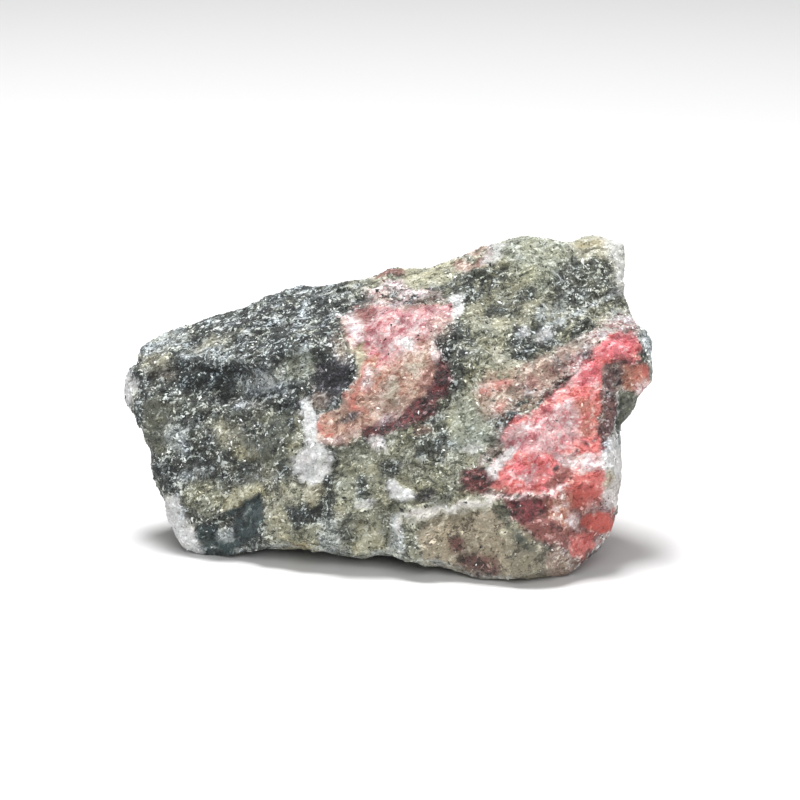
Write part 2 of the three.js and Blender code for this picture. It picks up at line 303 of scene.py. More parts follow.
FINISHES: dict[Mineral, MineralFinish] = {
    Mineral.GREY_MATRIX: MineralFinish((75, 81, 76), (200, 206, 203), (22, 28, 28), 0.21, 0.4, 1.0),
    Mineral.DARK_MATRIX: MineralFinish((55, 63, 62), (184, 194, 194), (22, 27, 28), 0.13, 0.46, 1.0),
    Mineral.OLIVE_MATRIX: MineralFinish((141, 141, 120), (194, 195, 177), (80, 82, 67), 0.25, 0.26, 0.7),
    Mineral.BROWN_MATRIX: MineralFinish((163, 151, 129), (200, 190, 169), (104, 94, 78), 0.22, 0.26, 0.4),
    Mineral.GREEN_BACK: MineralFinish((98, 101, 86), (150, 152, 136), (62, 64, 54), 0.15, 0.3, 0.5),
    Mineral.PALE_GREEN: MineralFinish((162, 167, 150), (204, 208, 195), (100, 106, 90), 0.3, 0.22, 0.5),
    Mineral.PALE_GREY: MineralFinish((176, 182, 180), (222, 227, 227), (100, 108, 106), 0.35, 0.2, 0.7),
    Mineral.CREAM: MineralFinish((178, 176, 156), (212, 210, 194), (116, 113, 94), 0.3, 0.22, 0.5),
    Mineral.YELLOW_CREAM: MineralFinish((182, 180, 155), (214, 212, 192), (122, 118, 92), 0.28, 0.22, 0.5),
    Mineral.BEIGE: MineralFinish((176, 146, 129), (214, 192, 178), (140, 98, 82), 0.3, 0.26, 0.38),
    Mineral.SNOW: MineralFinish((236, 232, 231), (250, 249, 249), (186, 176, 175), 0.3, 0.12, 0.3),
    Mineral.WHITE: MineralFinish((214, 215, 214), (240, 240, 241), (150, 150, 148), 0.35, 0.12, 0.35),
    Mineral.PINK_WHITE: MineralFinish((222, 200, 199), (246, 238, 238), (188, 140, 142), 0.4, 0.2, 0.5),
    Mineral.TEAL: MineralFinish((48, 64, 65), (96, 112, 112), (28, 40, 42), 0.16, 0.32, 0.35),
    Mineral.CHARCOAL: MineralFinish((58, 58, 62), (128, 122, 126), (28, 28, 32), 0.13, 0.4, 0.85),
    Mineral.GREY_MAUVE: MineralFinish((166, 152, 145), (214, 206, 201), (110, 94, 90), 0.3, 0.22, 0.6),
    Mineral.PALE_PINK: MineralFinish((224, 173, 174), (243, 221, 222), (200, 118, 122), 0.32, 0.24, 0.35),
    Mineral.ROSE: MineralFinish((198, 132, 140), (230, 190, 194), (164, 80, 92), 0.24, 0.26, 0.4),
    Mineral.STRONG_PINK: MineralFinish((222, 110, 120), (243, 180, 184), (182, 60, 70), 0.26, 0.24, 0.35),
    Mineral.CORAL: MineralFinish((218, 122, 118), (242, 186, 176), (182, 74, 68), 0.26, 0.24, 0.35),
    Mineral.CRIMSON: MineralFinish((152, 62, 70), (196, 110, 116), (110, 36, 46), 0.16, 0.28, 0.4),
    Mineral.ORANGE: MineralFinish((196, 142, 122), (232, 202, 188), (158, 92, 72), 0.28, 0.26, 0.45),
    Mineral.PEACH: MineralFinish((184, 156, 142), (216, 196, 184), (148, 110, 96), 0.28, 0.24, 0.4),
    Mineral.BROWN_PEACH: MineralFinish((178, 142, 124), (214, 188, 172), (124, 88, 76), 0.24, 0.24, 0.4),
    Mineral.SALMON: MineralFinish((190, 82, 70), (212, 120, 102), (146, 48, 40), 0.14, 0.24, 0.12),
    Mineral.MAUVE: MineralFinish((138, 80, 74), (186, 136, 130), (90, 47, 45), 0.18, 0.34, 0.35),
    Mineral.MAROON: MineralFinish((92, 36, 37), (148, 96, 94), (42, 17, 20), 0.11, 0.42, 0.5),
    Mineral.OCHRE: MineralFinish((156, 142, 100), (196, 186, 148), (104, 92, 58), 0.2, 0.25, 0.4),
}


# ------------------------------------------------------------------------------ markings


class Side(Enum):
    """The side of the stone on which a marking lies."""

    FRONT = "front"
    BACK = "back"


@dataclass(frozen=True)
class Broken:
    """How a marking is broken up into blotches of noise.

    Attributes:
        wave: the usual width of a blotch, in millimetres.
        least: the noise from which a blotch begins: the higher, the fewer blotches.
        seed: the seed of the noise.
        soft: how far above least the blotch is whole.
        slope: the slope of the blotches' long way on the face, in degrees.
        squeeze: how much slower the noise changes along that way.
    """

    wave: float
    least: float
    seed: int
    soft: float = 0.12
    slope: float = 0.0
    squeeze: float = 1.0

    def share(self, points: np.ndarray) -> np.ndarray:
        """Gives how fully blotches cover points, from 0 to 1."""
        slope = math.radians(self.slope)
        along = points[:, 0] * math.cos(slope) + points[:, 1] * math.sin(slope)
        across = points[:, 1] * math.cos(slope) - points[:, 0] * math.sin(slope)
        turned = np.stack([along * self.squeeze, across, points[:, 2]], 1)
        noise = Noise(self.seed).layered(turned, self.wave, 3)
        return smoothstep(self.least, self.least + self.soft, noise)


@dataclass(frozen=True)
class Marking:
    """A stretch of one mineral, drawn on the face's plane.

    Attributes:
        mineral: what it is made of.
        strength: how fully it covers what lies under it.
        edge: half the width over which it fades at its edge, in millimetres.
        reach: how far behind the belt it goes, in millimetres.
        side: the side of the stone on which it lies.
        broken: how it is broken up into blotches, where it is.
    """

    mineral: Mineral
    strength: float = field(default=0.9, kw_only=True)
    edge: float = field(default=0.35, kw_only=True)
    reach: float = field(default=4.0, kw_only=True)
    side: Side = field(default=Side.FRONT, kw_only=True)
    broken: Broken | None = field(default=None, kw_only=True)

    def inside(self, places: np.ndarray) -> np.ndarray:
        """Gives how far places lie inside the marking, negative outside it."""
        raise NotImplementedError

    def cover(self, places: np.ndarray, behind: np.ndarray) -> np.ndarray:
        """How fully the marking covers each place.

        Args:
            places: rows of u and v where the surface shows on the face's plane.
            behind: how far the surface lies behind the belt there.

        Returns:
            A share from 0 to 1 for each place.
        """
        share = self.strength * smoothstep(-self.edge, self.edge, self.inside(places))
        if self.side is Side.BACK:
            return share * smoothstep(0.5, 3.0, behind)
        return share * (1 - smoothstep(0.5 * self.reach, self.reach, behind))


@dataclass(frozen=True)
class Area(Marking):
    """A marking with an outline of straight stretches, which the stone's grain then roughens."""

    outline: Route

    def inside(self, places: np.ndarray) -> np.ndarray:
        """Gives how far places lie inside the outline, negative outside it."""
        nearest = np.full(len(places), np.inf)
        within = np.zeros(len(places), bool)
        ends = np.array(self.outline)
        for start, end in zip(np.roll(ends, 1, axis=0), ends):
            side = end - start
            along = np.clip((places - start) @ side / (side @ side), 0, 1)
            off = places - start - along[:, None] * side
            nearest = np.minimum(nearest, np.hypot(off[:, 0], off[:, 1]))
            if side[1]:
                crosses = (start[1] > places[:, 1]) != (end[1] > places[:, 1])
                at = start[0] + (places[:, 1] - start[1]) * side[0] / side[1]
                within ^= crosses & (places[:, 0] < at)
        return np.where(within, nearest, -nearest)


@dataclass(frozen=True)
class Spot(Marking):
    """An oval marking: its centre, its half sizes and the turn of its first half size."""

    at: Place
    half: Place
    turn: float = 0.0

    def inside(self, places: np.ndarray) -> np.ndarray:
        """Gives how far places lie inside the oval, negative outside it."""
        turn = math.radians(self.turn)
        off = places - np.array(self.at)
        long = (off[:, 0] * math.cos(turn) + off[:, 1] * math.sin(turn)) / self.half[0]
        short = (off[:, 1] * math.cos(turn) - off[:, 0] * math.sin(turn)) / self.half[1]
        return (1 - np.hypot(long, short)) * min(self.half)


@dataclass(frozen=True)
class Streak(Marking):
    """A marking along a line, width across."""

    line: Route
    width: float

    def inside(self, places: np.ndarray) -> np.ndarray:
        """Gives how far places lie inside the streak, negative outside it."""
        return self.width / 2 - off_line(self.line, places)


def off_line(line: Route, places: np.ndarray) -> np.ndarray:
    """Distance from a line.

    Args:
        line: the points that the line joins.
        places: rows of u and v.

    Returns:
        How far each place is from the line.
    """
    nearest = np.full(len(places), np.inf)
    for start, end in zip(np.array(line), np.array(line)[1:]):
        side = end - start
        along = np.clip((places - start) @ side / (side @ side), 0, 1)
        off = places - start - along[:, None] * side
        nearest = np.minimum(nearest, np.hypot(off[:, 0], off[:, 1]))
    return nearest


def matrix_markings() -> list[Marking]:
    """Returns the markings of the matrix, from the left end to the right, lowest first."""
    bedded = {"slope": 26.0, "squeeze": 0.45}
    return [
        Area(Mineral.OLIVE_MATRIX, (
            (-5, 13), (5.5, 14), (12, 17), (17, 16), (23, 17), (23.5, 8), (19, 6), (14, 2), (9.5, -1),
            (9, -8), (17, -18), (4, -19), (-12, -16.5), (-13.6, -12), (-13, -7), (-10, -5.4), (-4, -4),
            (4, -1), (6, 2), (6, 9), (-5, 11)), edge=1.3, reach=30),
        Area(Mineral.DARK_MATRIX, (
            (-27, -8), (-27, 10), (-6, 14), (-6, 4), (-10, -3), (-14, -8)),
            strength=0.7, reach=9, edge=1.0, broken=Broken(1.5, 0.1, 71, slope=26, squeeze=0.75)),
        Area(Mineral.PALE_GREY, (
            (-25, 3), (-24, 8), (-12, 13), (-4, 13), (-5, 6), (-12, 3)),
            strength=0.7, reach=9, edge=0.8, broken=Broken(1.0, 0.16, 72, slope=26, squeeze=0.7)),
        Area(Mineral.PALE_GREY, (
            (-26, 1), (-10, 2), (-10, -6), (-14, -9), (-22, -9)),
            strength=0.4, edge=0.8, broken=Broken(1.1, 0.28, 73, slope=-40, squeeze=0.6)),
        Area(Mineral.GREY_MATRIX, (
            (-24, 0.6), (-18, 0), (-10, -1), (-10, -8), (-15, -9), (-20, -11), (-23.5, -8)),
            strength=0.85, edge=0.8, broken=Broken(1.4, -0.4, 121)),
        Area(Mineral.GREEN_BACK, (
            (-23, -0.4), (-16, -0.8), (-11, -2), (-11, -7), (-16, -8), (-22, -7)),
            strength=0.35, edge=0.9, broken=Broken(1.2, -0.2, 134)),
        # The dark band under the brow is partly dark mineral and partly painted shade of the brow's hollow.
        Area(Mineral.DARK_MATRIX, (
            (-24, 4.2), (-22.5, 4.8), (-20.5, 4.2), (-18, 3.6), (-16, 4.1), (-13.8, 3.4), (-11.4, 3.6),
            (-9.5, 2.2), (-10.5, 0.4), (-13, 1.0), (-15, 1.6), (-17, 0.6), (-19.5, 1.4), (-21.5, 0.8),
            (-24, 1.8)), strength=0.5, edge=0.6, broken=Broken(1.0, -0.2, 120)),
        Area(Mineral.DARK_MATRIX, (
            (-23.6, 4.2), (-22.5, 4.8), (-20.5, 4.2), (-18, 3.6), (-16, 4.1), (-14.4, 3.4), (-15, 1.6),
            (-17, 0.6), (-19.5, 1.4), (-21.5, 0.8), (-23.6, 1.8)), strength=0.95, edge=0.6),
        Spot(Mineral.BROWN_MATRIX, (-23.6, 2.7), (1.2, 1.0), strength=0.5, edge=0.5),
        Spot(Mineral.DARK_MATRIX, (-12.2, 5.8), (2.0, 1.5), 30, strength=0.75, edge=0.6),
        Spot(Mineral.DARK_MATRIX, (-24.5, 1.4), (1.0, 1.5), strength=0.6, edge=0.5),
        Streak(Mineral.DARK_MATRIX, ((-20, 7.2), (-16, 8.6), (-11, 10.6)), 0.9, strength=0.5, edge=0.5),
        Area(Mineral.DARK_MATRIX, (
            (-23.5, -2.6), (-21, -4.2), (-18.8, -6.2), (-18.4, -7.8), (-20.4, -6.8), (-23, -4.6)),
            strength=0.7, edge=0.4),
        Area(Mineral.GREEN_BACK, (
            (-25.7, -0.3), (-24, 0.6), (-22.8, -0.6), (-22.6, -4), (-23.5, -5.6), (-24.9, -5.2)),
            strength=0.85, edge=0.5),
        Area(Mineral.GREEN_BACK, (
            (-15.5, -1.4), (-10.4, -0.8), (-9.8, -4.4), (-11, -6.8), (-14.4, -6.6), (-15.2, -4)),
            strength=0.8, edge=0.7, broken=Broken(1.3, -0.1, 74)),
        Area(Mineral.PALE_GREY, (
            (-26, 5.2), (-24.8, 6.8), (-23.3, 7.8), (-21.2, 8.2), (-21.8, 5.9), (-23.4, 4.9), (-25.2, 4.4)),
            strength=0.5),
        Area(Mineral.CREAM, (
            (-26.1, 4.6), (-23.8, 4.9), (-22.4, 4.2), (-23.4, 3.0), (-25.8, 3.0)), strength=0.55),
        Area(Mineral.WHITE, (
            (-28.4, 1.5), (-27, 3.1), (-26.3, 1.8), (-26.6, -0.1), (-27.5, -0.5)), strength=0.95, reach=6),
        Streak(Mineral.PALE_GREY, (
            (-22, 4.6), (-19.6, 4.9), (-17.6, 4.2), (-16, 4.0)), 0.8, strength=0.55, edge=0.4),
        Spot(Mineral.CREAM, (-18.8, 5.7), (1.8, 0.6), 15, strength=0.5),
        # Partly painted light: this pale spot lifts the shade in the hollow under the brow.
        Spot(Mineral.PALE_GREY, (-13.0, 2.0), (3.4, 1.2), 10, strength=0.65, edge=0.6),
        Spot(Mineral.PALE_GREEN, (-9.9, 3.6), (1.6, 1.2), 30, strength=0.55, edge=0.6),
        Streak(Mineral.WHITE, ((-16.2, -0.3), (-14.8, -0.5), (-13.9, -0.7)), 0.6, strength=0.4, edge=0.3),
        Spot(Mineral.CREAM, (-17.4, -3.4), (1.8, 1.2), -20, strength=0.6, edge=0.6),
        Spot(Mineral.YELLOW_CREAM, (-15.4, -5.3), (1.1, 0.9), strength=0.6, edge=0.4),
        Spot(Mineral.PALE_GREY, (-22.4, -3.8), (1.0, 1.7), 30, strength=0.6, edge=0.4),
        Spot(Mineral.PALE_GREY, (-20.6, -7.4), (1.6, 0.7), 30, strength=0.45, edge=0.4),
        Streak(Mineral.YELLOW_CREAM, ((-10.3, -1.4), (-10.2, -4), (-10.9, -6.4)), 0.8, strength=0.45),
        Area(Mineral.WHITE, (
            (-24, -9.6), (-22.2, -9.5), (-21.5, -11.2), (-20.4, -12.8), (-20, -14.6), (-19.2, -15.9),
            (-21, -16.2), (-23.4, -14)), strength=0.92, edge=0.4, reach=7),
        Area(Mineral.OLIVE_MATRIX, (
            (-22, -8.4), (-17.4, -7.8), (-17.8, -10.8), (-19.8, -12.0), (-21.4, -10.6)), strength=0.75, edge=0.6),
        Spot(Mineral.DARK_MATRIX, (-20.9, -11.4), (1.0, 1.3), 40, strength=0.4),
        Area(Mineral.CREAM, (
            (-17.4, -9), (-14.5, -7), (-12, -6.8), (-12.4, -8.4), (-14, -9.2), (-16.6, -9.6)),
            strength=0.4, edge=0.5),
        Area(Mineral.YELLOW_CREAM, (
            (-17.9, -11.3), (-17.4, -9.8), (-16, -8.8), (-13.8, -8.5), (-13.5, -9.2), (-15.2, -10.0),
            (-16.6, -10.8)), edge=0.2),
        Area(Mineral.TEAL, (
            (-17.8, -11.4), (-13.9, -9.3), (-13.4, -10.2), (-13.8, -12.2), (-14.6, -13.6), (-16.2, -14.8),
            (-18.6, -15.6), (-18.4, -14.6), (-16.9, -13.4), (-16.5, -12.2)), strength=0.97, edge=0.15),
        Area(Mineral.TEAL, (
            (-20.2, -12.8), (-18.8, -12.4), (-17.0, -13.2), (-16.6, -15.2), (-19.4, -15.8), (-20, -14.6)),
            strength=0.8, edge=0.3, broken=Broken(0.7, -0.35, 122)),
        Streak(Mineral.CHARCOAL, ((-16.2, -10.9), (-16.6, -12.4), (-16.0, -13.8)), 0.5, strength=0.6, edge=0.2),
        Streak(Mineral.PALE_GREY, ((-15.2, -10.8), (-15.5, -11.9)), 0.4, strength=0.3, edge=0.2),
        Spot(Mineral.PALE_GREY, (-17.3, -13.4), (1.0, 0.7), 30, strength=0.6, edge=0.3),
        Area(Mineral.CREAM, (
            (-13.4, -9.6), (-11, -7.6), (-10, -8.8), (-10.6, -12), (-11.6, -14.8), (-13.4, -14.4)),
            strength=0.6, edge=0.5, broken=Broken(1.0, -0.15, 75)),
        Area(Mineral.DARK_MATRIX, (
            (-11.6, -10.8), (-9.6, -10.4), (-8, -8.6), (-7.6, -7.0), (-7.2, -4.6), (-6.4, -5), (-6.6, -8),
            (-6.0, -11.2), (-7.6, -12.4), (-10.4, -12.8)), strength=0.9),
        Spot(Mineral.DARK_MATRIX, (-5.5, -13.6), (0.5, 1.5), 8, strength=0.7),
        Spot(Mineral.OCHRE, (-10.1, -14.8), (1.4, 0.55), strength=0.7),
        Area(Mineral.PALE_GREY, (
            (-8.2, -12.2), (-6.3, -11.7), (-5.9, -13.6), (-6.4, -15.6), (-7.8, -15)), strength=0.75),
        Area(Mineral.YELLOW_CREAM, (
            (-4.6, -12.7), (-2.2, -12.8), (-1.7, -14.4), (-2.6, -15.9), (-4.4, -15.2)), strength=0.85),
        Area(Mineral.PALE_GREY, (
            (-1.0, -11.4), (0.1, -11.2), (0.4, -13), (0.4, -16), (-1.1, -15.6), (-1.2, -13)), edge=0.25),
        Spot(Mineral.SNOW, (-0.3, -12.4), (0.4, 1.0), strength=0.7, edge=0.25),
        Area(Mineral.DARK_MATRIX, (
            (0.4, -12), (3.4, -12.6), (3.4, -14.8), (1.6, -15.6), (0.4, -15)), strength=0.55,
            broken=Broken(0.8, 0.0, 76)),
        Spot(Mineral.GREEN_BACK, (-4.2, -6.6), (2.8, 2.2), strength=0.6, edge=0.6),
        Spot(Mineral.YELLOW_CREAM, (-2.7, -7.0), (0.9, 1.0), strength=0.35, edge=0.5),
        Spot(Mineral.PALE_GREEN, (-5.0, -9.2), (1.5, 1.4), 30, strength=0.4, edge=0.3),
        Spot(Mineral.WHITE, (-3.4, -10.3), (0.9, 0.5), 10, strength=0.7, edge=0.25),
        Spot(Mineral.DARK_MATRIX, (-3.8, -8.6), (0.6, 1.0), -20, strength=0.8, edge=0.25),
        Spot(Mineral.CREAM, (-6.0, -11.0), (0.7, 0.7), strength=0.5),
        Spot(Mineral.GREY_MATRIX, (-2.6, -3.9), (1.6, 0.8), -20, strength=0.7, edge=0.3),
        Spot(Mineral.SNOW, (-2.2, -4.4), (1.2, 0.8), -40, strength=0.9, edge=0.2, broken=Broken(0.5, -0.3, 101)),
        Area(Mineral.WHITE, (
            (-1.5, -7.9), (-0.2, -8.0), (0.4, -8.8), (1.7, -9.4), (1.9, -10.2), (0.2, -10.2), (-0.9, -9.9)),
            strength=0.97, edge=0.15),
        Spot(Mineral.GREY_MATRIX, (-1.0, -6.8), (1.1, 0.9), 30, strength=0.7, edge=0.3),
        Spot(Mineral.CHARCOAL, (2.4, -9.6), (1.0, 0.7), 40, strength=0.85, edge=0.25),
        Area(Mineral.DARK_MATRIX, (
            (2.0, -2.4), (3.4, -1.4), (4.4, -1.6), (4.9, -4.4), (4.1, -6.6), (2.8, -6.0), (1.2, -4.6)),
            strength=0.7, edge=0.4, broken=Broken(0.8, -0.5, 123)),
        Spot(Mineral.PALE_GREY, (2.2, -5.6), (0.8, 0.5), -60, strength=0.7, edge=0.2),
        Area(Mineral.PALE_GREEN, (
            (5.4, -0.2), (8.0, -0.8), (9.2, -3.0), (8.4, -5.2), (6.0, -5.2), (4.8, -4.0), (4.8, -2)),
            strength=0.8, edge=0.5),
        Spot(Mineral.WHITE, (7.4, -4.8), (0.9, 0.5), 10, strength=0.7, edge=0.25),
        Area(Mineral.DARK_MATRIX, (
            (4.6, 7.6), (7.2, 7.8), (7.4, 5.4), (6.4, 3.0), (6.4, 0.4), (5.2, 0.6), (5.6, 3.6), (4.6, 5.6)),
            strength=0.75, edge=0.5, broken=Broken(1.1, -0.02, 98)),
        Area(Mineral.DARK_MATRIX, (
            (5.0, 11.8), (7.6, 12.8), (10.4, 13.6), (11, 12), (8, 10.6), (6.4, 8.8), (5.2, 9.6)),
            strength=0.8, edge=0.5, broken=Broken(1.2, -0.35, 77)),
        Area(Mineral.DARK_MATRIX, (
            (15.0, 12.4), (17, 14), (21, 14.4), (21.8, 12.6), (21.8, 10.4), (18.5, 9.6), (15.4, 10.0)),
            strength=0.55, edge=0.7, broken=Broken(1.4, -0.3, 78, slope=20, squeeze=0.6)),
        Area(Mineral.GREY_MATRIX, (
            (15.0, 12.4), (17, 14), (21, 14.4), (21.8, 12.6), (21.8, 9.6), (18.5, 8.8), (15.6, 9.2)),
            strength=0.55, edge=0.7),
        Streak(Mineral.DARK_MATRIX, (
            (9, 8.4), (11.4, 9.4), (13, 10.8)), 1.3, strength=0.75, edge=0.5, broken=Broken(1.0, -0.4, 79)),
        Area(Mineral.GREY_MATRIX, (
            (12, 3.6), (19.5, 7), (22.4, 10.4), (22, 8.4), (17, 8.4), (10, 4.8)),
            strength=0.85, edge=0.6, broken=Broken(0.8, -0.15, 80, slope=34, squeeze=0.4)),
        Area(Mineral.PALE_GREY, (
            (14.2, 10.2), (17.6, 10.6), (21.6, 11.2), (22.4, 8.6), (18.2, 7.2), (14.2, 7.4)),
            strength=0.6, edge=0.5, broken=Broken(0.9, 0.0, 81, slope=30, squeeze=0.4)),
        Area(Mineral.CREAM, (
            (7, 9.6), (10.4, 9.4), (13.4, 9.8), (12.8, 7.6), (9.4, 6.8), (6.8, 7.6)),
            strength=0.5, edge=0.6, broken=Broken(1.6, -0.2, 82, **bedded)),
        Area(Mineral.DARK_MATRIX, (
            (11.2, 7.4), (14.2, 7.6), (15.2, 6.0), (14.0, 4.8), (12.0, 5.0), (11.0, 4.6), (10.8, 6.0)),
            strength=0.75, edge=0.4, broken=Broken(0.8, -0.35, 102)),
        Spot(Mineral.WHITE, (14.4, 6.6), (0.9, 0.5), 30, strength=0.8, edge=0.25),
        Spot(Mineral.WHITE, (12.3, 6.9), (0.7, 0.5), 30, strength=0.7, edge=0.25),
        Spot(Mineral.PALE_GREY, (14.4, 8.9), (1.2, 0.5), 60, strength=0.6, edge=0.3),
        Area(Mineral.PALE_GREEN, (
            (10, 14.6), (10.4, 16.4), (12.8, 17), (16.8, 16), (15.8, 12.8), (14.4, 10.6), (12.8, 11.4),
            (11.8, 13.2)), strength=0.6, edge=0.6),
        Area(Mineral.CREAM, (
            (16.6, 15.4), (18.4, 17), (20.2, 17.4), (22.6, 17), (22.8, 13.0), (21.8, 12.6), (21.0, 14.2),
            (18.2, 14.0)), strength=0.9, edge=0.4, reach=7),
        # Partly painted rim light: white along the top right corner's edge, where light from behind catches it.
        Area(Mineral.WHITE, (
            (19.0, 17.4), (23, 17), (22.9, 10.5), (21.6, 10.8), (21.4, 13.6), (20.2, 15.6)),
            strength=0.7, edge=0.6, reach=7),
        Streak(Mineral.OCHRE, ((18.0, 15.6), (20.4, 15.9)), 0.5, strength=0.6, edge=0.25),
        Area(Mineral.CREAM, (
            (8.8, 5.3), (10.1, 5.1), (11, 4.3), (13.4, 3.3), (13, 2.3), (10.6, 2.7), (9.3, 3.9)), edge=0.3),
        Area(Mineral.BROWN_MATRIX, (
            (3.0, -11.8), (6, -11.0), (9.4, -10.6), (11, -12.4), (13.6, -14), (15.8, -16.4), (16, -18),
            (11, -19), (6.2, -19), (4.6, -17), (2.6, -16), (1.8, -13.6)), strength=0.9, edge=0.6),
        Area(Mineral.GREEN_BACK, (
            (11, -13.8), (13, -14), (15.4, -15.4), (15.8, -18), (11.8, -18), (10.6, -16)),
            strength=0.45, edge=0.7),
        Area(Mineral.PEACH, (
            (15.4, -14.6), (17.6, -15.4), (18, -17.6), (15, -18.8), (14.8, -16)), strength=0.6, edge=0.4),
        Streak(Mineral.GREEN_BACK, (
            (9.2, -10.6), (10.6, -12.0), (11.6, -13.6), (13, -14.8)), 0.8, strength=0.75, edge=0.3),
        Spot(Mineral.YELLOW_CREAM, (10.5, -13.3), (0.6, 0.35), -50, strength=0.8, edge=0.2),
        Spot(Mineral.TEAL, (11.8, -13.5), (0.7, 0.3), -50, strength=0.7, edge=0.2),
        Area(Mineral.MAROON, (
            (5.8, -15.4), (7.6, -15.2), (9.8, -16), (9.8, -17.4), (7.6, -17.8), (5.6, -16.6)),
            strength=0.8, edge=0.5, broken=Broken(0.9, -0.6, 128)),
        Spot(Mineral.MAROON, (5.6, -14.4), (0.9, 0.8), strength=0.85, edge=0.3),
        # Painted highlight: a thin pale line along the lower edge, where its rim catches the light.
        Streak(Mineral.PALE_GREY, (
            (-16.4, -15.1), (-12.4, -14.6), (-9.4, -15.1), (-8.2, -14.7), (-4.4, -15.8), (-1.4, -15.3),
            (2.0, -15.6), (4.2, -16.3), (6.3, -17.6), (8.6, -17.8), (11.1, -17.5)), 0.4,
            strength=0.6, edge=0.2, reach=6),
    ]


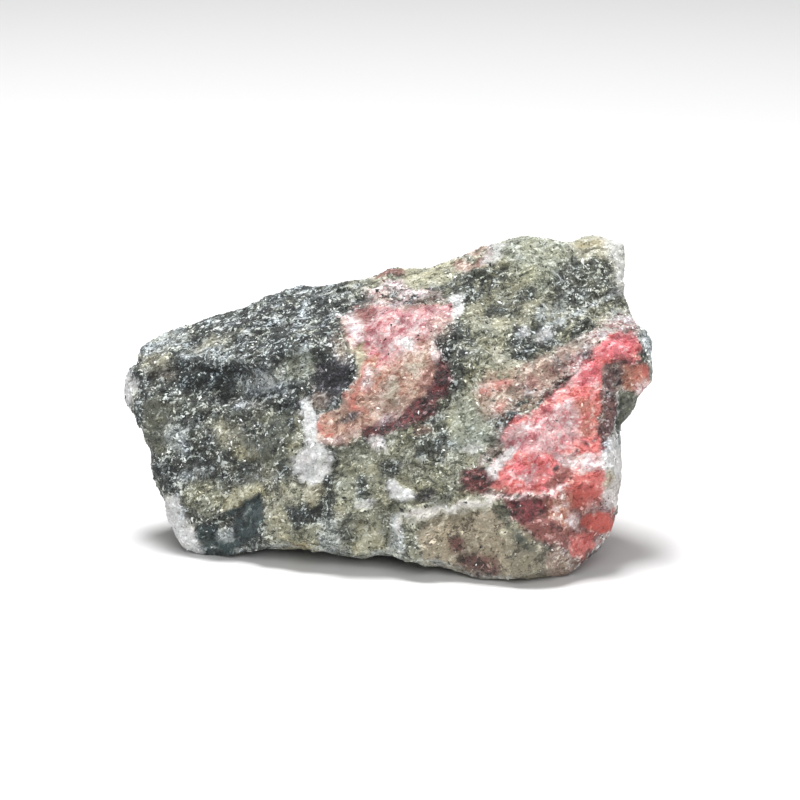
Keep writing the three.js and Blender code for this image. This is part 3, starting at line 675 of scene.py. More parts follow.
def patch_markings() -> list[Marking]:
    """Returns the markings of the pale knob, the sunk pink patch and the pink of the top edge."""
    return [
        Area(Mineral.WHITE, (
            (-10.8, -5.8), (-9.6, -4.8), (-7.6, -4.7), (-6.9, -5.6), (-7.1, -7.4), (-8.2, -8.4), (-10.0, -8.2),
            (-10.7, -7.2)), strength=0.97, edge=0.25),
        Area(Mineral.PALE_GREY, (
            (-10.2, -5.8), (-7.6, -5.2), (-7.4, -7.4), (-9.8, -7.8)), strength=0.6, edge=0.5,
            broken=Broken(0.6, 0.0, 118)),
        # Partly painted highlights: snow spots on the knob's white mineral, where the knob catches the light.
        Spot(Mineral.SNOW, (-9.3, -5.6), (0.9, 0.5), 20, strength=0.8, edge=0.3),
        Spot(Mineral.SNOW, (-8.9, -9.0), (0.6, 0.7), strength=0.6, edge=0.3),
        Spot(Mineral.CHARCOAL, (-8.6, -6.0), (0.18, 0.22), strength=0.9, edge=0.1),
        Spot(Mineral.CHARCOAL, (-7.9, -6.9), (0.16, 0.16), strength=0.9, edge=0.1),
        Spot(Mineral.CHARCOAL, (-9.3, -7.2), (0.14, 0.16), strength=0.9, edge=0.1),
        Area(Mineral.WHITE, (
            (-9.9, 0.2), (-9.0, 0.0), (-8.3, -2.0), (-7.4, -4.2), (-7.8, -5.4), (-9.4, -5.4), (-9.6, -3.0)),
            edge=0.2),
        Area(Mineral.CREAM, (
            (-9.7, -8.2), (-7.8, -8.4), (-7.7, -9.6), (-8.8, -10.7), (-9.6, -9.8)), edge=0.25),
        Area(Mineral.CHARCOAL, (
            (-8.4, 3.6), (-6.4, 4.2), (-4.9, 3.4), (-4.9, 1.5), (-6, 0.3), (-7.4, -0.3), (-8.6, 0.3),
            (-8.9, 1.6)), strength=0.95, edge=0.3),
        Spot(Mineral.GREY_MAUVE, (-7.8, 0.0), (1.0, 0.6), 20, strength=0.8, edge=0.25),
        Spot(Mineral.GREY_MAUVE, (-6.0, 5.2), (0.8, 1.5), 20, strength=0.6, edge=0.4),
        Area(Mineral.PEACH, (
            (-5.9, 8.5), (-4.2, 9.2), (-2.5, 9.6), (0.5, 9.7), (3.2, 9.6), (5.0, 9.7), (5.2, 8.0),
            (4.0, 6.4), (3.7, 5.4), (4.2, 3.6), (3.2, 2.4), (3.2, 0.8), (2.0, -0.2), (0.4, -1.2),
            (-1.4, -2.4), (-3.8, -3.4), (-5.6, -4.6), (-7.4, -4.5), (-8.4, -3.6), (-8.2, -1.4),
            (-6.2, -0.8), (-5.1, 0.6), (-4.3, 2.6), (-4.8, 5.4), (-5.9, 7.2)), strength=0.97, edge=0.25),
        Area(Mineral.PALE_PINK, (
            (-4.2, 9.2), (-1, 9.2), (2, 9.4), (5.0, 9.6), (4.8, 7.6), (3.6, 6.4), (2.8, 5.4), (1.4, 4.6),
            (0.4, 4.0), (-0.6, 2.6), (-2, 2.8), (-3.0, 5.0)), edge=0.35),
        Area(Mineral.ROSE, (
            (-4.2, 9.2), (5.0, 9.6), (4.6, 7.4), (2, 6.6), (-0.6, 6.4), (-1.6, 3.6), (-3.4, 4.2)),
            strength=0.85, edge=0.4, broken=Broken(1.1, -0.05, 83)),
        Area(Mineral.PINK_WHITE, (
            (-4, 9), (4.6, 9.4), (4.4, 4), (1.6, 1), (-2.6, 1.4), (-3.4, 5)),
            strength=0.5, edge=0.4, broken=Broken(0.9, 0.12, 84, soft=0.3, slope=-50, squeeze=0.6)),
        Spot(Mineral.ROSE, (3.6, 8.2), (1.3, 1.0), 10, strength=0.7, edge=0.4),
        Spot(Mineral.GREY_MAUVE, (3.9, 7.4), (1.2, 1.6), 20, strength=0.55, edge=0.6),
        Area(Mineral.MAUVE, (
            (-4.1, 9.4), (-3.0, 9.6), (-2.4, 8.7), (-3.0, 7.8), (-3.9, 7.9)), strength=0.85, edge=0.3),
        Area(Mineral.PINK_WHITE, (
            (-6.0, 8.7), (-4.8, 9.0), (-3.9, 7.6), (-3.6, 5.6), (-4.6, 5.3), (-5.2, 6.4)), edge=0.25),
        Spot(Mineral.SNOW, (0.7, 5.6), (0.9, 0.8), strength=1.0, edge=0.25),
        Spot(Mineral.PINK_WHITE, (1.6, 7.0), (0.5, 0.5), strength=0.8, edge=0.25),
        Spot(Mineral.BROWN_PEACH, (2.4, 5.7), (0.8, 0.45), strength=0.8, edge=0.25),
        Area(Mineral.WHITE, (
            (4.8, 10.5), (6.3, 10.5), (6.1, 8.6), (5.4, 7.4), (4.9, 8.8)), strength=0.85, edge=0.25),
        Area(Mineral.GREY_MAUVE, (
            (-3.8, 10.8), (0, 11.6), (4.2, 11.0), (4.8, 9.9), (1, 9.6), (-2, 9.4), (-3.8, 9.5)),
            strength=0.9, edge=0.35),
        Area(Mineral.DARK_MATRIX, (
            (-2, 11.6), (2, 11.8), (4.8, 11.4), (4.8, 10), (1, 9.8), (-2.6, 10.2)),
            strength=0.75, edge=0.3, broken=Broken(0.7, 0.05, 85, slope=4, squeeze=0.35)),
        Area(Mineral.PINK_WHITE, (
            (-3.4, 11.2), (2, 11.6), (3.4, 10.4), (0, 9.6), (-3.2, 9.8)),
            strength=0.85, edge=0.3, broken=Broken(0.7, 0.05, 86, slope=6, squeeze=0.35)),
        Spot(Mineral.OCHRE, (-3.9, 5.4), (0.35, 0.5), -30, strength=0.85, edge=0.2),
        Area(Mineral.YELLOW_CREAM, (
            (-4.8, 5.0), (-3.8, 5.2), (-3.3, 3.0), (-3.8, 1.6), (-4.4, 2.4)), strength=0.8, edge=0.3),
        Area(Mineral.ORANGE, (
            (-3.6, 4.4), (-2.2, 4.8), (-0.8, 2.8), (-1.0, 1.4), (-2.6, 0.6), (-4.3, 0.4), (-4.0, 2.0)),
            strength=0.8, edge=0.4, broken=Broken(0.9, -0.1, 87)),
        Area(Mineral.PINK_WHITE, (
            (-4.0, 3.2), (-3.0, 3.6), (-2.6, 2.0), (-3.4, 0.6), (-4.0, 1.4)), strength=0.75, edge=0.25),
        Area(Mineral.BEIGE, (
            (-0.8, 4.4), (1.0, 4.8), (3.2, 5.2), (3.5, 2.8), (2.8, 0.6), (0.4, -0.9), (-1.8, -1.4), (-2.4, 0.2),
            (-1.4, 1.8)), strength=0.75, edge=0.6),
        Area(Mineral.CREAM, (
            (-0.4, 3.6), (2.6, 4.4), (3.2, 2.4), (1.6, 0.4), (-1.0, -0.4), (-1.8, 0.4)),
            strength=0.55, edge=0.5, broken=Broken(0.9, -0.05, 130, soft=0.3, slope=-40, squeeze=0.6)),
        Streak(Mineral.ORANGE, ((-1.6, 3.4), (0.0, 2.2), (0.6, 0.8)), 0.4, strength=0.5, edge=0.3),
        Streak(Mineral.BROWN_PEACH, ((0.6, 4.4), (1.8, 3.8), (3.0, 4.2)), 0.35, strength=0.6, edge=0.25),
        Area(Mineral.BROWN_PEACH, (
            (-8.3, -1.5), (-5.6, -0.7), (-4.2, 0.4), (-3.0, 0.2), (-2.4, -1.4), (-3.4, -3.0), (-5.2, -4.4),
            (-7.6, -4.4)), strength=0.6, edge=0.4),
        Area(Mineral.BEIGE, (
            (-8.0, -2.0), (-5.4, -1.2), (-3.0, 0.0), (-2.6, -1.6), (-4.4, -3.6), (-7.2, -4.2)),
            strength=0.5, edge=0.5, broken=Broken(0.8, -0.1, 132)),
        Streak(Mineral.SALMON, (
            (-3.6, 3.8), (-4.0, 2.0), (-4.6, 0.4), (-4.6, -0.8)), 0.45, strength=0.6, edge=0.2),
        Spot(Mineral.ORANGE, (-7.3, -2.3), (0.8, 0.8), strength=0.6, edge=0.35),
        Streak(Mineral.SALMON, ((-8.3, -2.4), (-7.6, -3.3), (-6.6, -3.2)), 0.35, strength=0.7, edge=0.15),
        Streak(Mineral.PINK_WHITE, ((-7.4, -4.0), (-5.6, -3.9), (-4.2, -3.2)), 0.6, strength=0.6, edge=0.3),
        Streak(Mineral.SALMON, ((-5.4, 0.2), (-4.9, -0.8), (-3.6, -1.2)), 0.5, strength=0.5, edge=0.25),
        Spot(Mineral.BEIGE, (-3.8, -2.2), (1.2, 0.7), 40, strength=0.6, edge=0.4),
        Spot(Mineral.PEACH, (-4.6, -3.2), (1.6, 0.7), 30, strength=0.6, edge=0.3),
        Spot(Mineral.CHARCOAL, (-5.2, -1.7), (1.2, 0.5), 20, strength=0.85, edge=0.25, broken=Broken(0.5, -0.4, 103)),
        Spot(Mineral.MAUVE, (2.7, 2.2), (0.7, 1.3), -20, strength=0.6, edge=0.3),
        Spot(Mineral.PINK_WHITE, (3.6, 4.6), (0.4, 1.0), 10, strength=0.6, edge=0.25),
        Area(Mineral.MAROON, (
            (4.0, 4.6), (5.0, 3.8), (5.3, 2.2), (4.4, 0.3), (3.6, -0.2), (2.8, -0.1), (2.8, 1.0),
            (3.5, 2.6)), strength=0.95, edge=0.2),
        Area(Mineral.CRIMSON, (
            (2.9, 1.0), (3.5, 2.0), (4.3, 1.4), (4.2, 0.4), (3.4, -0.2), (2.7, 0.0)), strength=0.3, edge=0.25),
        Area(Mineral.MAROON, (
            (3.7, 0.1), (3.5, -1.0), (2.2, -2.0), (1.2, -2.6), (-0.6, -3.4), (-2.6, -3.9), (-3.9, -3.5),
            (-3.4, -2.7), (-2, -2.0), (-0.2, -1.6), (0.4, -0.6), (1.8, 0.2)), strength=0.95, edge=0.2),
        Area(Mineral.CRIMSON, (
            (0.4, -0.6), (1.8, -0.1), (2.2, -1.4), (1.6, -2.4), (0.0, -2.6), (0, -1.4)), strength=0.15),
        Area(Mineral.CHARCOAL, (
            (4.0, 4.6), (5.3, 2.2), (3.6, -1.0), (-0.6, -3.4), (-3.9, -3.5), (-3.4, -2.7), (0.4, -0.6),
            (2.8, 0.4)), strength=0.55, edge=0.4, broken=Broken(0.7, -0.05, 124)),
        Spot(Mineral.PINK_WHITE, (-1.0, -1.7), (1.4, 0.4), 35, strength=0.5, edge=0.25),
        Spot(Mineral.BROWN_PEACH, (2.2, -3.0), (0.7, 0.5), strength=0.4, edge=0.3),
        Area(Mineral.MAUVE, (
            (-2.6, 12.5), (-1.4, 13.6), (0.4, 13.4), (0.0, 11.9), (-1.6, 11.7)),
            strength=0.75, edge=0.35, reach=4.5,
            broken=Broken(1.8, -0.2, 135, soft=0.3)),
        Spot(Mineral.PINK_WHITE, (-0.6, 11.6), (1.2, 0.3), strength=0.6, edge=0.2, reach=4.5),
        Area(Mineral.YELLOW_CREAM, (
            (0.2, 13.6), (3.2, 14), (5, 14.4), (5.3, 12.2), (4, 11.4), (1.4, 11.2), (0.2, 11.8)),
            strength=0.8, edge=0.4, reach=5,
            broken=Broken(1.8, -0.5, 136, soft=0.3)),
        Area(Mineral.PEACH, (
            (4.8, 14.4), (7.6, 15.6), (9.4, 16), (8.8, 13.3), (6.2, 12.5), (4.9, 12.7)),
            strength=0.8, edge=0.35, reach=5,
            broken=Broken(1.8, -0.2, 137, soft=0.3)),
        Area(Mineral.PINK_WHITE, (
            (5.4, 15), (6.8, 15.4), (6.6, 12.8), (5.6, 12.5)), strength=0.7, edge=0.3, reach=4.5,
            broken=Broken(1.8, -0.2, 138, soft=0.3)),
        Spot(Mineral.MAUVE, (8.4, 13.9), (0.9, 0.5), 40, strength=0.75, edge=0.3, reach=4.5),
        Area(Mineral.WHITE, (
            (8.7, 15.9), (10.6, 16.3), (10.2, 14.4), (8.6, 12.6), (8.2, 13.0)),
            strength=0.75, edge=0.3, reach=4.5,
            broken=Broken(1.8, -0.2, 139, soft=0.3)),
    ]


def vein_markings() -> list[Marking]:
    """Returns the markings of the coral vein and of what lies along it."""
    body = (
        (18.9, 3.8), (19.6, 5.4), (21.0, 6.7), (22.8, 7.1), (23.9, 6.0), (23.9, 4.2), (22.0, 4.0),
        (20.8, 3.6), (20.3, 2.0), (20.0, 0.2), (19.9, -4.2), (20.6, -10), (17, -9.6), (12, -9.4),
        (9.0, -8.8), (8.6, -7.8), (9.5, -6.0), (10.6, -4.6), (10.3, -3.4), (11.6, -2.0), (14.3, -0.3),
        (15.4, 1.0), (17.2, 2.6), (18.2, 3.6))
    return [
        Area(Mineral.GREY_MAUVE, (
            (12.4, 3.4), (16.5, 5.6), (19.2, 6.6), (20.4, 6.4), (18.8, 4.6), (15.6, 2.0), (13.6, 0.2),
            (11.2, 0.8), (11.2, 2.4)), strength=0.85, edge=0.4, broken=Broken(1.0, -0.6, 99)),
        Area(Mineral.PEACH, (
            (12.8, 3.2), (16.5, 5.4), (18.4, 4.6), (15.6, 2.0), (13.6, 0.2), (11.6, 0.8)),
            strength=0.75, edge=0.4, broken=Broken(0.9, -0.1, 100)),
        Area(Mineral.PINK_WHITE, (
            (18.2, 6.2), (20.6, 8.1), (23.0, 8.7), (25, 6.8), (23, 6.8), (20, 6.0)),
            strength=0.6, edge=0.4, broken=Broken(0.8, -0.35, 88, slope=30, squeeze=0.4)),
        Area(Mineral.PEACH, (
            (7.4, 1.2), (8.7, 2.0), (10.6, 2.0), (11.5, 0.6), (10.4, -1.2), (8.6, -2.2), (7.6, -0.6)),
            strength=0.6, edge=0.6, broken=Broken(0.9, -0.3, 125)),
        Streak(Mineral.CORAL, ((8.6, 0.9), (9.8, 1.6), (10.9, 1.7)), 0.8, strength=0.6, edge=0.3),
        Spot(Mineral.CORAL, (10.2, -0.4), (0.8, 0.4), 40, strength=0.5, edge=0.3),
        Streak(Mineral.MAROON, ((15.8, 3.6), (14.6, 2.4), (13.4, 1.2)), 0.3, strength=0.5, edge=0.15),
        Area(Mineral.BEIGE, (
            (8.6, 2.8), (12, 3.4), (14.5, 4.8), (16, 4.0), (16, 2.0), (14.5, 0.2), (12, -1.2), (10.5, -2.0),
            (9.4, -1.0), (8.6, 0.8)), strength=0.5, edge=0.6, broken=Broken(0.9, -0.2, 117)),
        Spot(Mineral.MAUVE, (13.2, 1.6), (0.7, 0.5), -30, strength=0.75, edge=0.3),
        Area(Mineral.CORAL, body, strength=0.98, edge=0.2, reach=9),
        Area(Mineral.PALE_PINK, (
            (10.2, -3.4), (11.8, -2.4), (14.5, -1.2), (16, -0.4), (17.6, 0.2), (18.0, -1.4), (17.6, -3.6),
            (16.8, -4.8), (14.0, -5.5), (12, -5.3), (10.2, -4.6)), strength=0.95, edge=0.3),
        Area(Mineral.STRONG_PINK, body, strength=0.7, edge=0.3, broken=Broken(1.0, 0.1, 89, soft=0.3)),
        Area(Mineral.CRIMSON, body, strength=0.45, edge=0.3, broken=Broken(0.8, 0.42, 90, soft=0.3)),
        Area(Mineral.PINK_WHITE, (
            (10.0, -5.2), (10.3, -3.4), (14.3, -0.2), (18.4, 3.4), (19.8, 1.0), (17.8, -1.6), (18.2, -6),
            (14, -5.6)), strength=0.55, edge=0.3, broken=Broken(0.8, -0.1, 91, soft=0.4, slope=50, squeeze=0.6)),
        Area(Mineral.STRONG_PINK, (
            (19.4, 4.2), (20.4, 6.0), (22.0, 6.8), (23.6, 6.0), (23.4, 4.8), (21.6, 4.4), (20.2, 4.0)),
            strength=0.85, edge=0.3),
        Spot(Mineral.PALE_PINK, (20.6, 5.2), (1.2, 0.5), 35, strength=0.7, edge=0.3, broken=Broken(0.6, -0.1, 104)),
        Spot(Mineral.STRONG_PINK, (18.8, 2.6), (1.4, 1.2), 50, strength=0.8, edge=0.4),
        Spot(Mineral.CRIMSON, (18.6, 2.2), (0.8, 0.6), 40, strength=0.5, edge=0.3),
        Spot(Mineral.PALE_PINK, (17.6, 2.9), (0.9, 0.5), 50, strength=0.7, edge=0.3),
        Area(Mineral.PALE_PINK, (
            (15.6, 3.2), (18.2, 4.9), (19.8, 6.2), (20.8, 6.5), (19.9, 5.4), (18.4, 3.6), (17.0, 2.4)),
            strength=0.5, edge=0.5, broken=Broken(0.8, -0.2, 119)),
        Area(Mineral.CRIMSON, (
            (20.8, 6.3), (22.4, 7.2), (23.8, 6.6), (23.8, 5.2), (22.8, 6.0), (21.6, 5.9)),
            strength=0.8, edge=0.25),
        Area(Mineral.MAROON, (
            (21.2, 4.6), (23.4, 4.8), (23.9, 3.4), (22.6, 3.0), (21.4, 3.4)), strength=0.6, edge=0.3),
        Area(Mineral.CRIMSON, (
            (21.2, 4.6), (23.4, 4.8), (23.9, 3.4), (22.6, 3.0), (21.4, 3.4)), strength=0.5, edge=0.3,
            broken=Broken(0.6, -0.1, 105)),
        Area(Mineral.ORANGE, (
            (17.4, 0.2), (19.8, 0.2), (19.8, -3.4), (18.4, -3.9), (17.4, -2.4)),
            strength=0.55, edge=0.4, broken=Broken(1.2, -0.4, 92, soft=0.4)),
        Area(Mineral.GREY_MAUVE, (
            (20.2, 3.6), (21.8, 3.8), (22.8, 2.6), (22.6, 0.9), (20.4, 0.7), (20.0, 2.2)),
            strength=0.95, edge=0.3),
        Area(Mineral.MAROON, (
            (20.4, 3.6), (21.8, 3.8), (23.0, 3.0), (22.6, 1.4), (21.6, 0.8), (20.6, 0.8), (20.2, 2.2)),
            strength=0.75, edge=0.4, broken=Broken(0.6, -0.3, 106, soft=0.3)),
        Area(Mineral.CHARCOAL, (
            (20.6, 3.4), (21.8, 3.4), (22.3, 2.0), (21.5, 1.0), (20.8, 1.2)),
            strength=0.5, edge=0.4, broken=Broken(0.5, 0.0, 107, soft=0.3)),
        Spot(Mineral.CHARCOAL, (18.4, 4.4), (0.7, 0.35), 20, strength=0.8, edge=0.25),
        Area(Mineral.ORANGE, (
            (22.5, 3.5), (24.4, 3.6), (25, 1.6), (23.8, 0.7), (22.5, 1.0)), edge=0.3, reach=6),
        Area(Mineral.SALMON, (
            (22.9, 3.4), (24.2, 3.5), (24.7, 2.0), (23.6, 1.4)), strength=0.4, edge=0.4, reach=6),
        Area(Mineral.PINK_WHITE, (
            (23.6, 1.8), (24.9, 2.0), (24.6, 1.2), (23.8, 0.8)), strength=0.6, edge=0.3, reach=6),
        Streak(Mineral.SALMON, ((24.0, 3.4), (24.6, 2.4)), 0.4, strength=0.8, edge=0.15),
        Area(Mineral.PALE_GREY, (
            (23.7, 7.4), (25.6, 5.6), (25.7, 2.2), (24.9, 2.2), (24.4, 4.6), (23.9, 5.8)),
            strength=0.8, edge=0.25, reach=7),
        Area(Mineral.GREEN_BACK, (
            (21.8, 0.7), (24.2, 0.9), (23.8, -1.2), (22.2, -3.0), (21.8, -1.6)),
            strength=0.97, edge=0.2, reach=12),
        Area(Mineral.MAUVE, (
            (20.1, 0.7), (21.6, 0.3), (21.7, -2.6), (21.0, -3.8), (20.2, -4.2), (20.1, -2)),
            strength=0.55, edge=0.5),
        Streak(Mineral.WHITE, ((21.75, 0.2), (21.8, -3.0), (21.9, -5.0)), 0.25, strength=0.8, edge=0.1),
        Spot(Mineral.CRIMSON, (14.7, -1.0), (0.65, 0.42), -15, strength=0.9, edge=0.15),
        Spot(Mineral.CRIMSON, (13.2, -3.6), (0.7, 0.5), -40, strength=0.8, edge=0.2),
        Spot(Mineral.ROSE, (11.8, -4.6), (1.3, 0.7), 10, strength=0.7, edge=0.3),
        Area(Mineral.CHARCOAL, (
            (16.8, -4.2), (20.2, -3.4), (20.4, -5.4), (17, -5.8)),
            strength=0.75, edge=0.2, broken=Broken(0.5, 0.12, 93, slope=10, squeeze=0.4)),
        Area(Mineral.STRONG_PINK, (
            (10.0, -8.2), (11.2, -6.0), (13.0, -5.2), (15.2, -5.8), (15.6, -7.2), (13.8, -8.4), (11, -8.8)),
            strength=0.65, edge=0.4, broken=Broken(1.0, -0.2, 127, soft=0.4)),
        Area(Mineral.PALE_PINK, (
            (10.0, -8.2), (11.2, -6.0), (13.0, -5.2), (15.2, -5.8), (15.6, -7.2), (13.8, -8.4), (11, -8.8)),
            strength=0.8, edge=0.3, broken=Broken(0.7, 0.0, 126, soft=0.3)),
        Spot(Mineral.PALE_PINK, (13.1, -7.8), (0.6, 0.7), strength=0.9, edge=0.15),
        Streak(Mineral.WHITE, (
            (8.7, -7.6), (9.8, -6.6), (10.4, -5.6), (11.2, -5.0)), 1.0, strength=0.9, edge=0.2),
        Area(Mineral.MAUVE, (
            (14.2, -8.6), (15.2, -7.3), (17.2, -6.2), (17.4, -7.6), (16.0, -8.8)), edge=0.2),
        Area(Mineral.PINK_WHITE, (
            (15.2, -5.4), (18.0, -5.4), (20.8, -5.4), (21.4, -7), (19.4, -7.6), (17.4, -7.0), (16, -6.6)),
            strength=0.8, edge=0.3, broken=Broken(0.9, -0.4, 95)),
        Spot(Mineral.CHARCOAL, (15.55, -6.8), (0.26, 0.26), strength=0.9, edge=0.08),
        Area(Mineral.WHITE, (
            (20.3, -4.4), (21.6, -3.0), (22.6, -5.0), (22.8, -7.2), (22.2, -11), (20.8, -11), (19.8, -8.2)),
            edge=0.4, reach=8, broken=Broken(1.2, -0.7, 133, soft=0.3)),
        Area(Mineral.SNOW, (
            (20.6, -5.2), (22.6, -5.0), (22.8, -7.2), (21.4, -7.4)), strength=0.8, edge=0.4, reach=8),
        Area(Mineral.PEACH, (
            (20.2, -7.6), (22.4, -7.8), (22.2, -11), (20.8, -11)), strength=0.3, edge=0.5, reach=8),
        Spot(Mineral.OCHRE, (20.6, -7.8), (0.35, 0.9), -10, strength=0.65, edge=0.2),
        Area(Mineral.MAROON, (
            (6.1, -7.4), (7.4, -6.5), (8.4, -7.0), (9.2, -8.2), (8.6, -9.4), (7.2, -9.5), (6.2, -9.0)),
            strength=0.95, edge=0.3, broken=Broken(0.7, -0.45, 116)),
        Streak(Mineral.GREY_MAUVE, (
            (8.0, -6.4), (9.0, -5.2), (9.8, -4.2), (10.0, -3.0)), 0.9, strength=0.7, edge=0.3),
        Spot(Mineral.BROWN_PEACH, (10.0, -9.0), (1.0, 0.4), 10, strength=0.6, edge=0.25),
        Area(Mineral.MAUVE, (
            (10.4, -9.8), (15.4, -9.6), (17.4, -12.6), (17.4, -15), (14.8, -14.4), (12.0, -12.6)),
            edge=0.4),
        Area(Mineral.MAROON, (
            (10.6, -9.9), (12.8, -9.7), (14.6, -9.8), (14.4, -11.2), (13.0, -12.0), (11.0, -11.9)),
            strength=0.9, edge=0.35),
        Area(Mineral.CRIMSON, (
            (10.8, -9.9), (14.4, -9.9), (14.2, -11.2), (12.6, -12.0), (11.2, -11.6)),
            strength=0.4, edge=0.4, broken=Broken(0.8, -0.2, 129)),
        Area(Mineral.MAUVE, (
            (16.2, -8.6), (17.6, -8.0), (20.2, -9.4), (20.6, -11.0), (18.6, -16.4), (16.6, -14.6),
            (16.6, -10.8)), strength=0.8, edge=0.5, reach=7),
        Area(Mineral.SALMON, (
            (17.4, -7.9), (18.4, -7.2), (20.0, -7.1), (20.3, -8.6), (19.7, -9.9), (18.4, -10.6),
            (16.9, -10.8), (16.3, -9.2)), strength=0.75, edge=0.3, reach=7),
        Area(Mineral.CORAL, (
            (17.6, -8.0), (18.6, -7.2), (20.0, -7.3), (20.1, -9.0), (18.2, -9.2)), strength=0.6, edge=0.3),
        Area(Mineral.PINK_WHITE, (
            (18.6, -10.2), (19.8, -9.8), (20.8, -9.4), (21.4, -10.9), (20.4, -11.0), (19.0, -11.3)),
            strength=0.35, edge=0.5, reach=7, broken=Broken(0.7, -0.2, 109)),
        Area(Mineral.SALMON, (
            (18.5, -11.2), (20.8, -10.9), (21.3, -11.8), (21.2, -12.9), (19.9, -13.4), (18.6, -12.8),
            (18.2, -11.8)), strength=0.97, edge=0.2, reach=7),
        Area(Mineral.CORAL, (
            (18.9, -11.5), (20.8, -11.2), (21.0, -12.4), (19.4, -12.8)), strength=0.15, edge=0.3, reach=7),
        Area(Mineral.SALMON, (
            (16.9, -13.9), (18.5, -13.3), (19.7, -13.5), (19.3, -14.9), (18.0, -15.7), (16.9, -15.2)),
            strength=0.85, edge=0.3, reach=7),
        Area(Mineral.CORAL, (
            (16.9, -13.8), (19.2, -13.4), (19.4, -14.6), (18.0, -15.8), (17.0, -15.4)),
            strength=0.75, edge=0.4, reach=7),
        Area(Mineral.ORANGE, (
            (14.6, -9.4), (16.8, -9.6), (18.2, -12.8), (16.4, -13.0), (14.6, -11.6)),
            strength=0.75, edge=0.5),
        Area(Mineral.PINK_WHITE, (
            (14.8, -9.6), (16.6, -9.8), (17.8, -12.8), (16.4, -12.6), (14.8, -11.4)),
            strength=0.6, edge=0.3, broken=Broken(0.7, -0.1, 96, soft=0.4)),
        Spot(Mineral.PINK_WHITE, (17.5, -12.2), (0.7, 0.9), strength=0.8, edge=0.25),
        Spot(Mineral.PINK_WHITE, (20.2, -14.0), (0.5, 0.9), -50, strength=0.5, edge=0.3),
        Streak(Mineral.CREAM, (
            (0.6, -11.8), (4.2, -11.1), (7, -10.5), (8.8, -10.3)), 1.5, strength=0.7, edge=0.4),
        Streak(Mineral.YELLOW_CREAM, (
            (2.4, -11.4), (4.5, -11.0), (7, -10.4), (8.8, -10.2)), 1.0, strength=0.6, edge=0.4,
            broken=Broken(0.8, -0.2, 115)),
        Streak(Mineral.SNOW, (
            (0.8, -11.6), (2.8, -11.4), (4.5, -11.0), (7, -10.4), (9.2, -10.1)), 0.9, strength=0.6, edge=0.3,
            broken=Broken(0.7, -0.4, 131)),
        Streak(Mineral.PINK_WHITE, (
            (8.8, -9.6), (11.4, -9.7), (14, -9.3), (16.2, -8.9)), 0.8, strength=0.75, edge=0.3,
            broken=Broken(0.6, -0.2, 97)),
        # Partly painted shade: a dark line laid along the cleft above the vein, over the cleft's own relief.
        Streak(Mineral.MAROON, (
            (14.2, -0.1), (14.8, 0.6), (16.5, 2.1), (17.4, 3.0)), 0.35, strength=0.75, edge=0.15),
        Spot(Mineral.MAROON, (14.7, 0.3), (0.6, 0.4), 45, strength=0.85, edge=0.15),
    ]


def back_markings() -> list[Marking]:
    """Returns the markings of the back, where the vein comes through and pale pods lie."""
    back = {"side": Side.BACK}
    return [
        Area(Mineral.OLIVE_MATRIX, (
            (-30, -20), (-16, -20), (-6, -4), (-2, 16), (-12, 16), (-30, 5)),
            strength=0.7, edge=2.5, broken=Broken(4.0, -0.3, 110), **back),
        Area(Mineral.DARK_MATRIX, (
            (-30, -20), (30, -20), (30, 20), (-30, 20)),
            strength=0.6, broken=Broken(3.0, 0.2, 111, slope=26, squeeze=0.5), **back),
        Area(Mineral.PALE_GREY, (
            (-30, -20), (30, -20), (30, 20), (-30, 20)),
            strength=0.6, broken=Broken(2.2, 0.3, 112, slope=26, squeeze=0.5), **back),
        Area(Mineral.CORAL, (
            (26, 6), (20, 6.4), (15.5, 2.6), (12, -1.5), (9.5, -6.5), (10.5, -9.5), (14, -6), (18, -3),
            (26, -3)), strength=0.92, edge=0.5, **back),
        Area(Mineral.STRONG_PINK, (
            (26, 6), (12, 4), (9, -9), (26, -3)), strength=0.7, broken=Broken(1.5, 0.1, 113), **back),
        Area(Mineral.PINK_WHITE, (
            (22, 4), (15, 1.6), (10, -8), (13.5, -5.6), (17, -2.6), (22, 1.4)),
            strength=0.85, broken=Broken(1.4, -0.2, 114), **back),
        Streak(Mineral.MAROON, (
            (24, 6.6), (19, 7), (14.6, 3.4), (11, -1)), 0.9, strength=0.8, edge=0.3, **back),
        Streak(Mineral.CREAM, (
            (20, -3.4), (15, -6.6), (11, -10.2), (8, -12.6)), 0.9, strength=0.75, **back),
        Spot(Mineral.CREAM, (-12, 3.5), (3.0, 1.8), -20, strength=0.8, edge=0.5, **back),
        Spot(Mineral.WHITE, (-11, 3.0), (1.6, 1.0), -30, edge=0.25, **back),
        Spot(Mineral.PALE_GREEN, (1.5, -5), (3.6, 2.4), 40, strength=0.8, edge=0.7, **back),
        Spot(Mineral.MAUVE, (-1, 9.2), (2.6, 1.1), 15, strength=0.7, edge=0.5, **back),
        Spot(Mineral.ROSE, (-0.6, 9.4), (1.6, 0.6), 15, strength=0.8, edge=0.4, **back),
        Spot(Mineral.YELLOW_CREAM, (8, 8), (2.6, 1.4), strength=0.7, edge=0.5, **back),
        Spot(Mineral.TEAL, (-9, -8), (2.4, 1.4), 25, strength=0.85, edge=0.3, **back),
        Spot(Mineral.WHITE, (4.5, 1.2), (1.1, 0.8), 20, strength=0.85, edge=0.25, **back),
    ]


# ------------------------------------------------------------------------------ clefts and ridges


@dataclass(frozen=True)
class Crease:
    """A cleft or a ridge along a line of the front.

    Attributes:
        line: the points that it joins, as u and v.
        width: its full width, in millimetres.
        rise: its height, negative for a cleft.
    """

    line: Route
    width: float
    rise: float

    def height(self, places: np.ndarray) -> np.ndarray:
        """Gives the height that the crease adds at each place."""
        off = off_line(self.line, places) / (self.width / 2)
        return self.rise * np.maximum(0, 1 - off * off) ** 2


